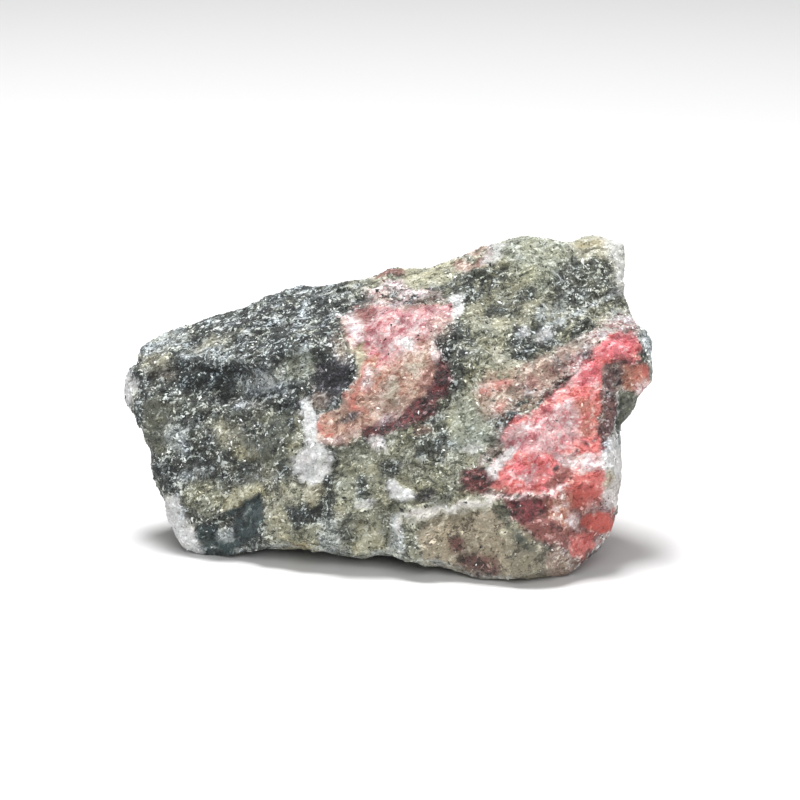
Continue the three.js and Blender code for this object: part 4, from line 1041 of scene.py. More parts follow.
CREASES = (
    Crease(((-23.5, 4.0), (-20, 4.3), (-16.5, 3.7), (-13, 3.9), (-10.4, 5.2), (-7, 5.4)), 1.4, 0.35),
    Crease(((-23.5, 3.2), (-19, 3.1), (-16, 2.7), (-12.8, 2.9), (-10.4, 4.0)), 1.4, -0.4),
    Crease(((-14.4, -0.9), (-12.4, -0.8), (-10.8, -0.3)), 0.9, -0.3),
    Crease(((-19.7, -11.5), (-17, -10.4), (-13.8, -9.0)), 0.7, 0.3),
    Crease(((-19.4, -12.0), (-16.8, -10.9), (-14.0, -9.7)), 0.7, -0.35),
    Crease(((-10.9, -8.2), (-9.0, -9.0), (-7.0, -8.2), (-6.6, -6.0)), 0.8, -0.4),
    Crease(((-8.6, -0.4), (-6.6, -0.4), (-5.2, 0.8), (-4.9, 3.4)), 0.8, -0.35),
    Crease(((-6.2, 9.6), (-3.6, 10.2), (0.4, 10.1), (3.2, 10.2), (4.6, 10.2)), 0.8, -0.35),
    Crease(((-6.0, 10.6), (-3, 11.0), (1, 10.9), (4.6, 11.0)), 0.9, 0.3),
    Crease(((5.6, 8.0), (4.8, 5.6), (4.6, 3.8), (5.3, 1.6), (4.5, -0.8)), 0.8, -0.3),
    Crease(((4.2, -1.2), (1.8, -2.6), (-0.6, -4.0), (-3.4, -4.3)), 0.8, -0.3),
    Crease(((19.0, 3.9), (17.4, 2.9), (16.0, 1.7), (14.8, 0.4), (13.6, -0.2)), 0.5, -0.22),
    Crease(((19.4, 6.9), (17, 5.6), (14.4, 3.4)), 1.2, 0.3),
    Crease(((1.6, -11.9), (4.5, -11.0), (7, -10.2), (9.2, -10.0), (13, -9.5), (18, -8.5)), 1.2, 0.35),
    Crease(((2.0, -12.8), (6, -11.5), (9.4, -11.0), (11.2, -11.4)), 1.0, -0.3),
    Crease(((15.9, -9.5), (17.2, -8.9), (19.2, -8.9)), 0.5, -0.25),
    Crease(((12.6, 13.0), (11.8, 12.8)), 0.5, -0.3),
    Crease(((18.6, 15.0), (20.6, 14.9)), 0.5, -0.3),
    Crease(((-4.2, -12.4), (-3.0, -12.9), (-2.6, -12.3)), 0.6, -0.35),
    Crease(((20.3, 0.6), (20.1, -2.4), (20.2, -5.2)), 0.5, 0.25),
    Crease(((22.0, 0.8), (22.0, -1.6), (22.2, -3.0)), 0.8, -0.4),
    Crease(((-1.5, -7.8), (-0.9, -10.1), (1.9, -10.5)), 0.6, -0.3),
)


# ------------------------------------------------------------------------------ the painted stone


class MineralMap:
    """The minerals' colours and grain at each point of the stone's surface, with painted shade in its hollows."""

    BLOTCHES = (
        (Mineral.DARK_MATRIX, 31, 3.4, 0.12, 0.5),
        (Mineral.OLIVE_MATRIX, 32, 2.6, 0.2, 0.5),
        (Mineral.PALE_GREY, 33, 1.5, 0.3, 0.5),
        (Mineral.CREAM, 34, 1.9, 0.34, 0.4),
    )

    def __init__(self, face: FaceFrame, points: np.ndarray) -> None:
        """Covers every point with the grey matrix.

        Args:
            face: the frame in which the markings are drawn.
            points: rows of u, v and w in millimetres.
        """
        warp = Noise(21)
        self.points = points
        self.behind = face.behind_belt(points)
        self.ragged = self.behind + 2.4 * warp.layered(points + 150, 1.7, 3) * smoothstep(0, 1.5, self.behind)
        drift = np.clip(self.behind, 0, 12)
        shift = [
            0.5 * warp.layered(points + 40 * axis, 2.0, 3)
            + 0.32 * warp.smooth(points + 90 * axis, 0.55)
            + drift * (0.35 * warp.smooth(points - 60 * axis, 6) + 0.5 * warp.layered(points - 80 * axis, 2.6, 2))
            for axis in (1, 2)
        ]
        self.places = face.drawn(points) + np.stack(shift, 1)
        count = len(points)
        finish = FINISHES[Mineral.GREY_MATRIX]
        self.colours = {
            name: np.tile(linear(getattr(finish, name)), (count, 1)) for name in ("ground", "pale", "dark")
        }
        self.numbers = {
            name: np.full(count, getattr(finish, name)) for name in ("pale_share", "dark_share", "grit")
        }

    def lay(self, mineral: Mineral, share: np.ndarray) -> None:
        """Covers each point with a share of a mineral.

        Args:
            mineral: the mineral that is laid on.
            share: how fully it covers each point, from 0 to 1.
        """
        finish = FINISHES[mineral]
        for name, held in self.colours.items():
            self.colours[name] = mix(held, linear(getattr(finish, name)), share)
        for name, held in self.numbers.items():
            self.numbers[name] = mix(held, getattr(finish, name), share)

    def blotch(self) -> None:
        """Lays the matrix's own soft blotches on it."""
        for mineral, seed, wave, least, most in self.BLOTCHES:
            noise = Noise(seed).layered(self.points, wave, 3)
            self.lay(mineral, most * smoothstep(least, least + 0.22, noise))

    def drift(self, most: float) -> None:
        """Turns the colours a little greener in some places and bluer in others.

        Args:
            most: the greatest share by which red and blue change.
        """
        turn = most * Noise(41).layered(self.points, 1.8, 3) * smoothstep(0.35, 0.6, self.numbers["grit"])
        change = np.stack([1 + 0.6 * turn, 1 + 0.2 * turn, 1 - turn], 1)
        for name, held in self.colours.items():
            self.colours[name] = held * change

    def mark(self, markings: list[Marking]) -> None:
        """Lays on the markings, one after the other."""
        for marking in markings:
            share = marking.cover(self.places, self.ragged)
            if marking.broken:
                share = share * marking.broken.share(self.points)
            self.lay(marking.mineral, share)

    def painted_hollow_shade(self, rise: np.ndarray, low: float, most: float) -> None:
        """Paints shade into the hollows of the break: darkens the colours where the fine relief sinks.

        Args:
            rise: the height of the break's fine relief at each point, in millimetres.
            low: the depth at which a hollow is darkest.
            most: the share of light that it then loses.
        """
        kept = 1 - most * smoothstep(0, low, -rise)
        for name, held in self.colours.items():
            self.colours[name] = held * kept[:, None]

    def write(self, mesh: bpy.types.Mesh) -> None:
        """Writes the colours and shares to a mesh as attributes of the same names."""
        for name, held in self.colours.items():
            rows = np.concatenate([held, np.ones((len(held), 1))], 1)
            attribute = mesh.attributes.new(name, "FLOAT_COLOR", "POINT")
            attribute.data.foreach_set("color", rows.astype(np.float32).ravel())
        for name, held in self.numbers.items():
            attribute = mesh.attributes.new(name, "FLOAT", "POINT")
            attribute.data.foreach_set("value", held.astype(np.float32))


# ------------------------------------------------------------------------------ node helpers


class Nodes:
    """A node tree, written from its first node to its last."""

    def __init__(self, tree: bpy.types.NodeTree) -> None:
        """Keeps the tree that is written to."""
        self.tree = tree

    def add(self, kind: str, inputs: dict[str | int, object] | None = None, **options: object) -> bpy.types.Node:
        """Adds a node.

        Args:
            kind: the node's type.
            inputs: a value or a socket for each input, by its name or number.
            **options: settings of the node itself.

        Returns:
            The node.
        """
        node = self.tree.nodes.new(kind)
        for name, value in options.items():
            setattr(node, name, value)
        for name, value in (inputs or {}).items():
            self.feed(node.inputs[name], value)
        return node

    def feed(self, socket: bpy.types.NodeSocket, value: object) -> None:
        """Links a socket to an input, or sets the input to a value."""
        if isinstance(value, bpy.types.NodeSocket):
            self.tree.links.new(value, socket)
        else:
            socket.default_value = value

    def math(self, operation: str, *values: object) -> bpy.types.NodeSocket:
        """Adds a step of arithmetic on one, two or three values."""
        return self.add("ShaderNodeMath", dict(enumerate(values)), operation=operation).outputs[0]

    def step(self, low: object, high: object, value: object) -> bpy.types.NodeSocket:
        """Rises smoothly from 0 to 1 between two values."""
        inputs = {"Value": value, "From Min": low, "From Max": high}
        return self.add("ShaderNodeMapRange", inputs, interpolation_type="SMOOTHSTEP").outputs[0]

    def level(self, share: object, first: object, second: object) -> bpy.types.NodeSocket:
        """Mixes two numbers by a share of the second."""
        return self.add("ShaderNodeMix", {0: share, 2: first, 3: second}, data_type="FLOAT").outputs[0]

    def blend(self, share: object, first: object, second: object) -> bpy.types.NodeSocket:
        """Mixes two colours by a share of the second."""
        return self.add("ShaderNodeMix", {0: share, 6: first, 7: second}, data_type="RGBA").outputs[2]

    def scale(self, vector: object, amount: object) -> bpy.types.NodeSocket:
        """Multiplies a vector or a colour by an amount."""
        return self.add("ShaderNodeVectorMath", {0: vector, "Scale": amount}, operation="SCALE").outputs[0]

    def sum(self, first: object, second: object) -> bpy.types.NodeSocket:
        """Adds two vectors."""
        return self.add("ShaderNodeVectorMath", {0: first, 1: second}, operation="ADD").outputs[0]

    def drawn_out(self, place: object) -> bpy.types.NodeSocket:
        """Turns and squeezes places, so that a pattern read there runs along the stone's bedding."""
        turned = self.add(
            "ShaderNodeVectorRotate",
            {"Vector": place, "Angle": math.radians(BEDDING_SLOPE)},
            rotation_type="Y_AXIS",
        )
        return self.add(
            "ShaderNodeVectorMath", {0: turned.outputs[0], 1: BEDDING_SQUEEZE}, operation="MULTIPLY"
        ).outputs[0]

    def chosen(self, luck: object, clump: object, dark: object, pale: object, soft: float) -> tuple:
        """Chooses dark and pale grains by luck.

        Args:
            luck: an even random number from 0 to 1 for each grain.
            clump: a number about 0 that gathers grains of a kind, positive for pale ones.
            dark: the share of dark grains.
            pale: the share of pale grains.
            soft: how softly one kind passes into the other.

        Returns:
            The sockets of two shares, of being dark and of being pale.
        """
        drawn = self.math("ADD", luck, clump)
        pale_from = self.math("SUBTRACT", 1.0, pale)
        is_dark = self.step(self.math("ADD", dark, soft), self.math("SUBTRACT", dark, soft), drawn)
        is_pale = self.step(
            self.math("SUBTRACT", pale_from, soft), self.math("ADD", pale_from, soft), drawn
        )
        return is_dark, is_pale


class Shader(Nodes):
    """A material's node tree, with a plain surface shader."""

    def __init__(self, name: str) -> None:
        """Makes the material."""
        self.material = bpy.data.materials.new(name)
        self.material.use_nodes = True
        super().__init__(self.material.node_tree)
        self.surface = self.tree.nodes["Principled BSDF"]

    def attribute(self, name: str, output: str) -> bpy.types.NodeSocket:
        """Reads an attribute of the mesh; output is Color or Fac."""
        return self.add("ShaderNodeAttribute", attribute_name=name).outputs[output]

    def parts(self, colour: object) -> list[bpy.types.NodeSocket]:
        """Splits a colour into its three numbers."""
        return list(self.add("ShaderNodeSeparateColor", {0: colour}).outputs)

    def set(self, **inputs: object) -> None:
        """Sets or links inputs of the surface shader, with _ for a space in a name."""
        for name, value in inputs.items():
            self.feed(self.surface.inputs[name.replace("_", " ")], value)


@dataclass(frozen=True)
class StoneFinish:
    """The finish of the painted stone: grains in three tones, with the bumps of a sugary break.

    Attributes:
        crystal: the usual width of a smooth crystal, in millimetres.
        grain: the usual width of a grain.
        speck: the usual width of the finer specks among them.
        clump: the usual width of a gathering of like grains.
        gather: how strongly like grains gather.
        roughness: how dull the dullest grains are.
        gloss: how much less dull the brightest ones are.
        bump: how strongly the grains stand out.
        sheen: how pale the stone turns where it is seen aslant.
    """

    name: str = "sugary_stone"
    crystal: float = 0.9
    gather: float = 1.8
    grain: float = 0.3
    speck: float = 0.14
    clump: float = 1.0
    roughness: float = 0.85
    gloss: float = 0.45
    bump: float = 1.0
    sheen: float = 0.15

    def material(self) -> bpy.types.Material:
        """Builds the material.

        Returns:
            A material that reads the stone's mineral attributes and its place.
        """
        shader = Shader(self.name)
        place = shader.add("ShaderNodeTexCoord").outputs["Object"]
        wobble = shader.add("ShaderNodeTexNoise", {"Vector": place, "Scale": 1 / (0.4 * MM)})
        bent = shader.sum(place, shader.scale(wobble.outputs["Color"], 0.25 * MM))
        grit = shader.attribute("grit", "Fac")
        long = shader.drawn_out(bent)
        crystals, grains, specks = (
            self._cells(shader, spot, width)
            for spot, width in ((bent, self.crystal), (long, self.grain), (long, self.speck))
        )
        clumps = shader.add(
            "ShaderNodeTexNoise",
            {
                "Vector": shader.drawn_out(place),
                "Scale": 1 / (self.clump * MM),
                "Detail": 4.0,
                "Distortion": 1.2,
            },
        )
        big_luck, big_shine = crystals[0][:2]
        luck, shine = grains[0][:2]
        fine_luck, tone = specks[0][:2]
        flakes = shader.add(
            "ShaderNodeTexNoise",
            {"Vector": bent, "Scale": 1 / (0.5 * MM), "Detail": 5.0, "Roughness": 0.7, "Distortion": 0.6},
        ).outputs[0]
        sandy = shader.math("MULTIPLY_ADD", fine_luck, 0.55, shader.math("MULTIPLY_ADD", luck, 0.75, -0.15))
        smooth = shader.math("MULTIPLY_ADD", big_luck, 0.5, shader.math("MULTIPLY_ADD", flakes, 2.0, -0.75))
        drawn = shader.level(grit, smooth, sandy)
        gathered = shader.math("MULTIPLY_ADD", clumps.outputs[0], self.gather, -self.gather / 2)
        dark, pale = shader.chosen(
            drawn,
            gathered,
            shader.attribute("dark_share", "Fac"),
            shader.attribute("pale_share", "Fac"),
            0.04,
        )
        colour = shader.blend(dark, shader.attribute("ground", "Color"), shader.attribute("dark", "Color"))
        colour = shader.blend(pale, colour, shader.attribute("pale", "Color"))
        swing = shader.level(grit, 0.15, 0.65)
        bright = shader.math("MULTIPLY_ADD", shader.math("SUBTRACT", tone, 0.5), swing, 1.0)
        colour = shader.scale(colour, bright)
        gleam = shader.math("MULTIPLY", shader.level(grit, big_shine, shine), tone)
        dull = shader.math("MULTIPLY_ADD", gleam, -self.gloss, self.roughness)
        leaning = shader.math("MULTIPLY_ADD", grains[1], 1.2, specks[1])
        leaning = shader.math("MULTIPLY_ADD", crystals[1], 1.5, leaning)
        leaning = shader.math("MULTIPLY_ADD", flakes, 2.5, leaning)
        bump = shader.add("ShaderNodeBump", {"Height": leaning, "Strength": self.bump, "Distance": 0.12 * MM})
        shader.set(Base_Color=colour, Roughness=dull, Normal=bump.outputs[0], Sheen_Weight=self.sheen)
        return shader.material

    def _cells(self, shader: Shader, place: object, width: float) -> tuple:
        """Splits the stone into small flat-faced cells.

        Args:
            shader: the material that is written to.
            place: the place at which the cells are read.
            width: the usual width of a cell, in millimetres.

        Returns:
            Three random numbers of the cell, and the height of its leaning face.
        """
        cells = shader.add("ShaderNodeTexVoronoi", {"Vector": place, "Scale": 1 / (width * MM)})
        colour = cells.outputs["Color"]
        reach = shader.add(
            "ShaderNodeVectorMath", {0: place, 1: cells.outputs["Position"]}, operation="SUBTRACT"
        )
        lean = shader.add("ShaderNodeVectorMath", {0: colour, 1: (0.5, 0.5, 0.5)}, operation="SUBTRACT")
        height = shader.add("ShaderNodeVectorMath", {0: reach.outputs[0], 1: lean.outputs[0]}, operation="DOT_PRODUCT")
        return shader.parts(colour)[:3], shader.math("MULTIPLY", height.outputs["Value"], 1 / (0.3 * MM))


@dataclass(frozen=True)
class CrystalFinish:
    """The finish of the small crystals, each of one tone, some with glossy faces.

    Attributes:
        roughness: how dull the dullest crystals are.
        gloss: how much less dull the brightest ones are.
        sheen: how pale they turn where they are seen aslant.
    """

    name: str = "crystal_grains"
    roughness: float = 0.8
    gloss: float = 0.5
    sheen: float = 0.15

    def material(self) -> bpy.types.Material:
        """Builds the material, which reads each crystal's tint and shine."""
        shader = Shader(self.name)
        place = shader.add("ShaderNodeTexCoord").outputs["Object"]
        cloud = shader.add("ShaderNodeTexNoise", {"Vector": place, "Scale": 1 / (0.15 * MM)})
        tone = shader.math("MULTIPLY_ADD", cloud.outputs[0], 0.3, 0.85)
        dull = shader.math("MULTIPLY_ADD", shader.attribute("shine", "Fac"), -self.gloss, self.roughness)
        shader.set(
            Base_Color=shader.scale(shader.attribute("tint", "Color"), tone),
            Roughness=dull,
            Sheen_Weight=self.sheen,
        )
        return shader.material


@dataclass
class Stone:
    """The stone itself: its solid made fine, with its break's relief, painted with its minerals and with painted shade
    in its hollows.

    Attributes:
        face: the frame of its broad face.
        pitch: the spacing of the fine mesh's corners, in millimetres.
        facets: the scallops of its break, coarse to fine, each as width, hollow and tilt.
        ripple: height of its finest roughness, in millimetres.
        rim_relief: the share of the relief that its worn rim keeps.
        painted_hollow_shade_depth: the depth at which a hollow's painted shade is darkest, in millimetres.
        painted_hollow_shade: the share of light that the painted shade takes off there.
    """

    face: FaceFrame
    pitch: float = 0.256
    facets: tuple[tuple[float, float, float], ...] = ((4.0, 0.26, 0.12), (1.7, 0.3, 0.18), (0.8, 0.36, 0.22))
    ripple: float = 0.05
    rim_relief: float = 0.4
    painted_hollow_shade_depth: float = 0.35
    painted_hollow_shade: float = 0.3

    def build(self) -> bpy.types.Object:
        """Builds and dresses the stone.

        Returns:
            The stone's object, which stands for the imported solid.
        """
        stone = self._fine_copy()
        mesh = stone.data
        points = self.face.to_face(read_vectors(mesh.vertices, "co"))
        normals = read_vectors(mesh.vertex_normals, "vector") @ self.face.axes().T
        minerals = MineralMap(self.face, points)
        minerals.blotch()
        for markings in (matrix_markings(), patch_markings(), vein_markings(), back_markings()):
            minerals.mark(markings)
        minerals.drift(0.16)
        rise = self._relief(points, minerals)
        # Painted shade: the colours are darkened in the hollows of the break, as if less light reached them.
        minerals.painted_hollow_shade(rise, self.painted_hollow_shade_depth, self.painted_hollow_shade)
        moved = self.face.to_part(points + normals * rise[:, None])
        mesh.vertices.foreach_set("co", moved.astype(np.float32).ravel())
        keep_in_box(mesh)
        minerals.write(mesh)
        mesh.update()
        mesh.materials.clear()
        mesh.materials.append(StoneFinish().material())
        return stone

    def _fine_copy(self) -> bpy.types.Object:
        """Makes an even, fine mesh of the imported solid's shape.

        Returns:
            An object with the fine mesh, with its place in the mesh.
        """
        work = bmesh.new()
        work.from_mesh(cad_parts[NODE].data)
        bmesh.ops.remove_doubles(work, verts=work.verts, dist=1e-7)
        mesh = bpy.data.meshes.new("stone")
        work.to_mesh(mesh)
        work.free()
        rough = bpy.data.objects.new("stone", mesh)
        bpy.context.scene.collection.objects.link(rough)
        even = rough.modifiers.new("even", "REMESH")
        even.mode = "VOXEL"
        even.voxel_size = self.pitch * MM
        bpy.context.view_layer.update()
        graph = bpy.context.evaluated_depsgraph_get()
        fine = bpy.data.meshes.new_from_object(rough.evaluated_get(graph))
        rough.modifiers.clear()
        rough.data = fine
        fine.name = "stone"
        bpy.data.meshes.remove(mesh)
        return rough

    def _relief(self, points: np.ndarray, minerals: MineralMap) -> np.ndarray:
        """Works out how far the surface rises at each point.

        Args:
            points: rows of u, v and w in millimetres.
            minerals: the minerals there, which break more or less roughly.

        Returns:
            The rise at each point, in millimetres.
        """
        warp = Noise(3)
        bent = points + 0.5 * np.stack([warp.smooth(points + 30 * axis, 1.3) for axis in range(3)], 1)
        rise = np.zeros(len(points))
        for number, (size, hollow, tilt) in enumerate(self.facets):
            rise += Noise(50 + number).facets(bent, size, hollow, tilt)
        rise += self.ripple * Noise(60).layered(points, 0.8, 2)
        rise *= 0.6 + 0.4 * minerals.numbers["grit"]
        rise *= self.rim_relief + (1 - self.rim_relief) * smoothstep(0.3, 2.5, np.abs(minerals.behind))
        front = 1 - smoothstep(-1.5, 0.5, minerals.behind)
        ragged = 0.75 + 0.75 * Noise(61).smooth(points, 1.6)
        for crease in CREASES:
            rise += front * ragged * crease.height(minerals.places)
        floor = smoothstep(0.0, 1.2, self.face.to_part(points)[:, 2] / MM)
        return rise * floor


def read_vectors(items: bpy.types.bpy_prop_collection, name: str) -> np.ndarray:
    """Reads one vector from each item of a collection.

    Args:
        items: the collection, such as a mesh's vertices.
        name: the property that holds the vector.

    Returns:
        The vectors, one to a row.
    """
    held = np.empty(len(items) * 3, np.float32)
    items.foreach_get(name, held)
    return held.reshape(-1, 3).astype(float)


def keep_in_box(mesh: bpy.types.Mesh) -> None:
    """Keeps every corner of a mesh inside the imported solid's box."""
    low, high = (np.array(corner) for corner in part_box(NODE))
    kept = np.clip(read_vectors(mesh.vertices, "co"), low, high)
    mesh.vertices.foreach_set("co", kept.astype(np.float32).ravel())
    mesh.update()


# ------------------------------------------------------------------------------ small crystals


class Habit(Enum):
    """The shape of a small crystal, as the segments and rings of its ball."""

    BIPYRAMID = (4, 2)
    DRUM = (4, 3)


@dataclass(frozen=True)
class Crystals:
    """One scatter of small crystals over the stone.

    Attributes:
        name: the name of the piece.
        habit: the shape of a crystal.
        density: how many there are to a square millimetre.
        size: the smallest and largest radius, in millimetres.
        seed: the seed of the scatter.
        sunk: how far a crystal's middle is sunk in, as a share of its radius.
        lean: how far a crystal may lean out of the surface, in radians.
    """

    name: str
    habit: Habit
    density: float
    size: tuple[float, float]
    seed: int
    sunk: float = 0.25
    lean: float = 0.5

    def build(self, stone: bpy.types.Object, material: bpy.types.Material) -> bpy.types.Object:
        """Scatters the crystals.

        Args:
            stone: the painted stone that they grow on.
            material: their finish.

        Returns:
            An object with the joined mesh of all the crystals.
        """
        tree = self._tree()
        holder = bpy.data.objects.new("crystal_holder", stone.data)
        bpy.context.scene.collection.objects.link(holder)
        scatter = holder.modifiers.new("scatter", "NODES")
        scatter.node_group = tree
        values = {
            "Density": self.density / MM**2,
            "Smallest": self.size[0] * MM,
            "Largest": self.size[1] * MM,
            "Sunk": self.sunk,
            "Seed": self.seed,
            "Material": material,
        }
        for item in tree.interface.items_tree:
            if item.name in values:
                scatter[item.identifier] = values[item.name]
        graph = bpy.context.evaluated_depsgraph_get()
        mesh = bpy.data.meshes.new_from_object(holder.evaluated_get(graph))
        mesh.name = self.name
        bpy.data.objects.remove(holder)
        keep_in_box(mesh)
        piece = bpy.data.objects.new(self.name, mesh)
        bpy.context.scene.collection.objects.link(piece)
        return piece

    def _tree(self) -> bpy.types.GeometryNodeTree:
        """Writes the scatter's node tree.

        Returns:
            The tree, which takes the stone and gives the joined crystals.
        """
        tree = bpy.data.node_groups.new(self.name, "GeometryNodeTree")
        kinds = {
            "Geometry": "Geometry",
            "Density": "Float",
            "Smallest": "Float",
            "Largest": "Float",
            "Sunk": "Float",
            "Seed": "Int",
            "Material": "Material",
        }
        for name, kind in kinds.items():
            tree.interface.new_socket(name, in_out="INPUT", socket_type="NodeSocket" + kind)
        tree.interface.new_socket("Geometry", in_out="OUTPUT", socket_type="NodeSocketGeometry")
        nodes = Nodes(tree)
        given = nodes.add("NodeGroupInput").outputs
        grit = nodes.add("GeometryNodeInputNamedAttribute", {"Name": "grit"}, data_type="FLOAT").outputs[0]
        crowd = nodes.math("MULTIPLY", given["Density"], nodes.step(0.1, 1.0, grit))
        spots = nodes.add(
            "GeometryNodeDistributePointsOnFaces",
            {"Mesh": given["Geometry"], "Density": crowd, "Seed": given["Seed"]},
        )
        radius = self._random(nodes, given["Seed"], 1, given["Smallest"], given["Largest"])
        inward = nodes.scale(
            spots.outputs["Normal"], nodes.math("MULTIPLY", radius, nodes.math("MULTIPLY", given["Sunk"], -1.0))
        )
        sunk = nodes.add("GeometryNodeSetPosition", {"Geometry": spots.outputs["Points"], "Offset": inward})
        tinted = self._tint(nodes, sunk.outputs[0], given["Seed"])
        segments, rings = self.habit.value
        ball = nodes.add("GeometryNodeMeshUVSphere", {"Segments": segments, "Rings": rings, "Radius": 1.0})
        lean = self.lean
        spin = self._random(nodes, given["Seed"], 2, (-lean, -lean, 0.0), (lean, lean, math.tau))
        turn = nodes.add(
            "FunctionNodeRotateRotation",
            {"Rotation": spots.outputs["Rotation"], "Rotate By": spin},
            rotation_space="LOCAL",
        ).outputs[0]
        shape = self._random(nodes, given["Seed"], 3, (1.0, 0.5, 0.6), (2.0, 1.0, 1.0))
        set_out = nodes.add(
            "GeometryNodeInstanceOnPoints",
            {
                "Points": tinted,
                "Instance": ball.outputs["Mesh"],
                "Rotation": turn,
                "Scale": nodes.scale(shape, radius),
            },
        )
        joined = nodes.add("GeometryNodeRealizeInstances", {"Geometry": set_out.outputs[0]})
        flat = nodes.add("GeometryNodeSetShadeSmooth", {"Geometry": joined.outputs[0], "Shade Smooth": False})
        dressed = nodes.add(
            "GeometryNodeSetMaterial", {"Geometry": flat.outputs[0], "Material": given["Material"]}
        )
        nodes.add("NodeGroupOutput", {"Geometry": dressed.outputs[0]})
        return tree

    def _random(self, nodes: Nodes, seed: object, turn: int, low: object, high: object) -> bpy.types.NodeSocket:
        """Draws a random number or vector for each crystal.

        Args:
            nodes: the tree that is written to.
            seed: the scatter's seed.
            turn: tells this draw from the scatter's others.
            low: the least value.
            high: the greatest value.

        Returns:
            The socket of the drawn value.
        """
        vector = isinstance(low, tuple)
        first = 0 if vector else 2
        inputs = {first: low, first + 1: high, "Seed": nodes.math("ADD", seed, 97.0 * turn)}
        kind = "FLOAT_VECTOR" if vector else "FLOAT"
        return nodes.add("FunctionNodeRandomValue", inputs, data_type=kind).outputs[0 if vector else 1]

    def _tint(self, nodes: Nodes, points: object, seed: object) -> bpy.types.NodeSocket:
        """Gives each crystal one tone of the mineral that it grows on; a few get a painted glint and a few a painted
        pore shade instead.

        Args:
            nodes: the tree that is written to.
            points: the crystals' places, which carry the minerals' attributes.
            seed: the scatter's seed.

        Returns:
            The socket of the places with their tints and shines.
        """
        grit = nodes.add("GeometryNodeInputNamedAttribute", {"Name": "grit"}, data_type="FLOAT").outputs[0]
        held = {
            name: nodes.add("GeometryNodeInputNamedAttribute", {"Name": name}, data_type=kind).outputs[0]
            for name, kind in {
                "ground": "FLOAT_COLOR",
                "pale": "FLOAT_COLOR",
                "dark": "FLOAT_COLOR",
                "pale_share": "FLOAT",
                "dark_share": "FLOAT",
            }.items()
        }
        place = nodes.add("GeometryNodeInputPosition").outputs[0]
        clumps = nodes.add(
            "ShaderNodeTexNoise",
            {"Vector": nodes.drawn_out(place), "Scale": 1 / (1.0 * MM), "Detail": 4.0, "Distortion": 1.2},
        )
        gathered = nodes.math("MULTIPLY_ADD", clumps.outputs[0], 1.8, -0.9)
        luck = self._random(nodes, seed, 4, 0.0, 1.0)
        dark, pale = nodes.chosen(luck, gathered, held["dark_share"], held["pale_share"], 0.02)
        colour = nodes.blend(pale, nodes.blend(dark, held["ground"], held["dark"]), held["pale"])
        swing = nodes.math("MULTIPLY", self._random(nodes, seed, 5, -0.36, 0.36), nodes.level(grit, 0.3, 1.0))
        colour = nodes.scale(colour, nodes.math("ADD", swing, 1.0))
        # Painted light and shade: a few crystals, more on gritty minerals, are tinted as glints, and a few as the
        # shade in pores.
        rare = self._random(nodes, seed, 7, 0.0, 1.0)
        seldom = nodes.math("MULTIPLY_ADD", grit, -0.015, 1.0)
        colour = nodes.blend(nodes.math("GREATER_THAN", rare, seldom), colour, PAINTED_GLINT)
        colour = nodes.blend(nodes.math("LESS_THAN", rare, nodes.math("MULTIPLY", grit, 0.05)), colour, PAINTED_PORE_SHADE)
        shine = self._random(nodes, seed, 6, 0.0, 1.0)
        tinted = nodes.add(
            "GeometryNodeStoreNamedAttribute",
            {"Geometry": points, "Name": "tint", "Value": colour},
            data_type="FLOAT_COLOR",
        )
        shiny = nodes.add(
            "GeometryNodeStoreNamedAttribute",
            {"Geometry": tinted.outputs[0], "Name": "shine", "Value": shine},
            data_type="FLOAT",
        )
        return shiny.outputs[0]


SCATTERS = (
    Crystals("crystals_large", Habit.DRUM, 2.2, (0.18, 0.3), 5, sunk=0.5),
    Crystals("crystals_middle", Habit.BIPYRAMID, 5.2, (0.14, 0.22), 6, sunk=0.4),
    Crystals("crystals_small", Habit.BIPYRAMID, 5.2, (0.1, 0.16), 7),
    Crystals("crystals_fine", Habit.BIPYRAMID, 5.2, (0.07, 0.12), 8),
)


# ------------------------------------------------------------------------------ studio


@dataclass(frozen=True)
class Lamp:
    """A soft square lamp: where it hangs, its width in metres and its power in watts."""

    at: tuple[float, float, float]
    width: float
    power: float


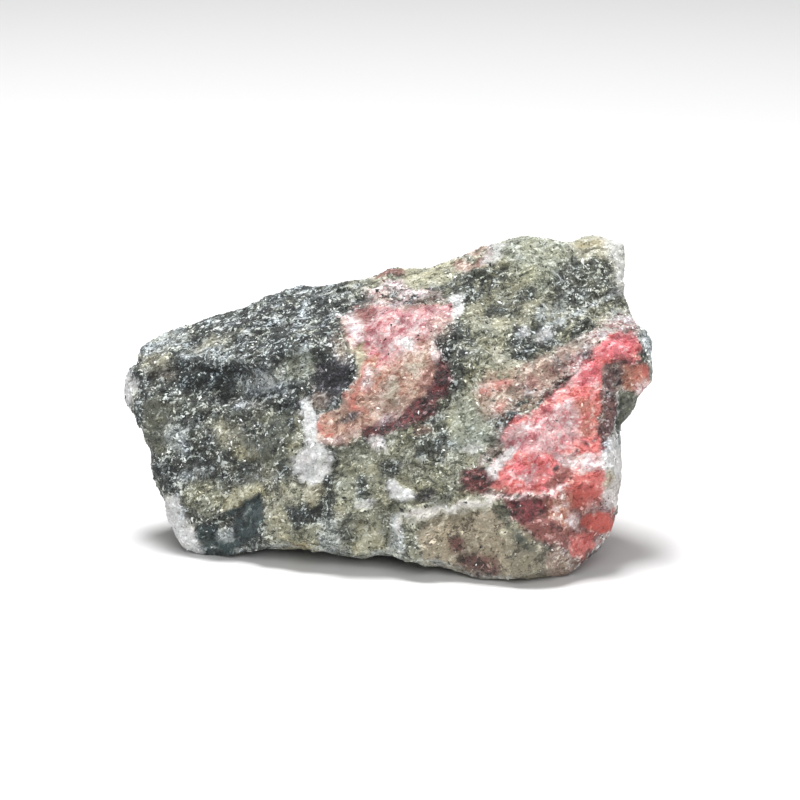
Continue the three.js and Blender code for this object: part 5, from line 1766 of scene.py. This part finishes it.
@dataclass
class Studio:
    """A white table under soft light, and the camera square to the stone's broad face.

    Attributes:
        face: the frame of the stone's broad face.
        lens: the camera's focal length, in millimetres.
        sensor: the width of its sensor, in millimetres.
        reach: half the width of the table, in metres.
        lamps: the lamps over it.
        ambient: how bright the surroundings are.
    """

    face: FaceFrame
    lens: float = 157.5
    sensor: float = 36.0
    reach: float = 1.5
    lamps: tuple[Lamp, ...] = (
        Lamp((-0.05, 0.05, 0.6), 0.2, 5.2),
        Lamp((0.1, -0.5, 0.36), 0.4, 2.3),
        Lamp((-0.55, 0.05, 0.3), 0.4, 0.35),
    )
    ambient: float = 0.22
    target: tuple[float, float, float] = (0.0, 0.0, 0.012)

    def build(self) -> None:
        """Sets out the table, the lamps, the surroundings and the camera."""
        self._table()
        for number, lamp in enumerate(self.lamps):
            self._hang(f"lamp_{number}", lamp)
        self._surroundings()
        self._camera()

    def _table(self) -> None:
        """Lays a plain white table under the stone."""
        reach = self.reach
        mesh = bpy.data.meshes.new("table")
        corners = [(-reach, -reach, 0), (reach, -reach, 0), (reach, reach, 0), (-reach, reach, 0)]
        mesh.from_pydata(corners, [], [(0, 1, 2, 3)])
        shader = Shader("white_table")
        shader.set(Base_Color=(0.72, 0.72, 0.72, 1), Roughness=0.6)
        mesh.materials.append(shader.material)
        table = bpy.data.objects.new("table", mesh)
        bpy.context.scene.collection.objects.link(table)

    def _hang(self, name: str, lamp: Lamp) -> None:
        """Hangs a lamp that looks at the stone.

        Args:
            name: the lamp's name.
            lamp: its place, width and power.
        """
        light = bpy.data.lights.new(name, "AREA")
        light.shape = "SQUARE"
        light.size = lamp.width
        light.energy = lamp.power
        holder = bpy.data.objects.new(name, light)
        way = Vector(self.target) - Vector(lamp.at)
        holder.matrix_world = Matrix.Translation(lamp.at) @ way.to_track_quat("-Z", "Y").to_matrix().to_4x4()
        bpy.context.scene.collection.objects.link(holder)

    def _surroundings(self) -> None:
        """Lights the scene evenly from all round."""
        world = bpy.data.worlds.new("white_room")
        world.use_nodes = True
        background = world.node_tree.nodes["Background"]
        background.inputs["Color"].default_value = (1, 1, 1, 1)
        background.inputs["Strength"].default_value = self.ambient
        bpy.context.scene.world = world
        bpy.context.scene.view_settings.view_transform = "Standard"

    def _camera(self) -> None:
        """Sets the camera in front of the broad face, square to it."""
        camera = bpy.data.cameras.new("camera")
        camera.lens = self.lens
        camera.sensor_width = self.sensor
        holder = bpy.data.objects.new("camera", camera)
        turn = Matrix([list(axis) for axis in self.face.axes().T]).to_4x4()
        stand = self.face.to_part(np.array([[0.0, 0.0, self.face.sight]]))[0]
        holder.matrix_world = Matrix.Translation(stand) @ turn
        bpy.context.scene.collection.objects.link(holder)
        bpy.context.scene.camera = holder


# ------------------------------------------------------------------------------ main


def declare(piece: bpy.types.Object) -> None:
    """Makes a piece ride with the stone's body and stand for its solid, and reports it."""
    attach(piece, BODY)
    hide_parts(NODE)
    LOG.info("%s: %d faces", piece.name, len(piece.data.polygons))


def main() -> None:
    """Builds the studio and the stone, and declares each piece."""
    logging.basicConfig(level=logging.INFO, format="%(name)s: %(message)s")
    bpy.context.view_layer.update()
    face = FaceFrame()
    Studio(face).build()
    LOG.info("studio: table, lamps and camera")
    stone = Stone(face).build()
    declare(stone)
    grains = CrystalFinish().material()
    for crystals in SCATTERS:
        declare(crystals.build(stone, grains))


if __name__ == "__main__":
    main()
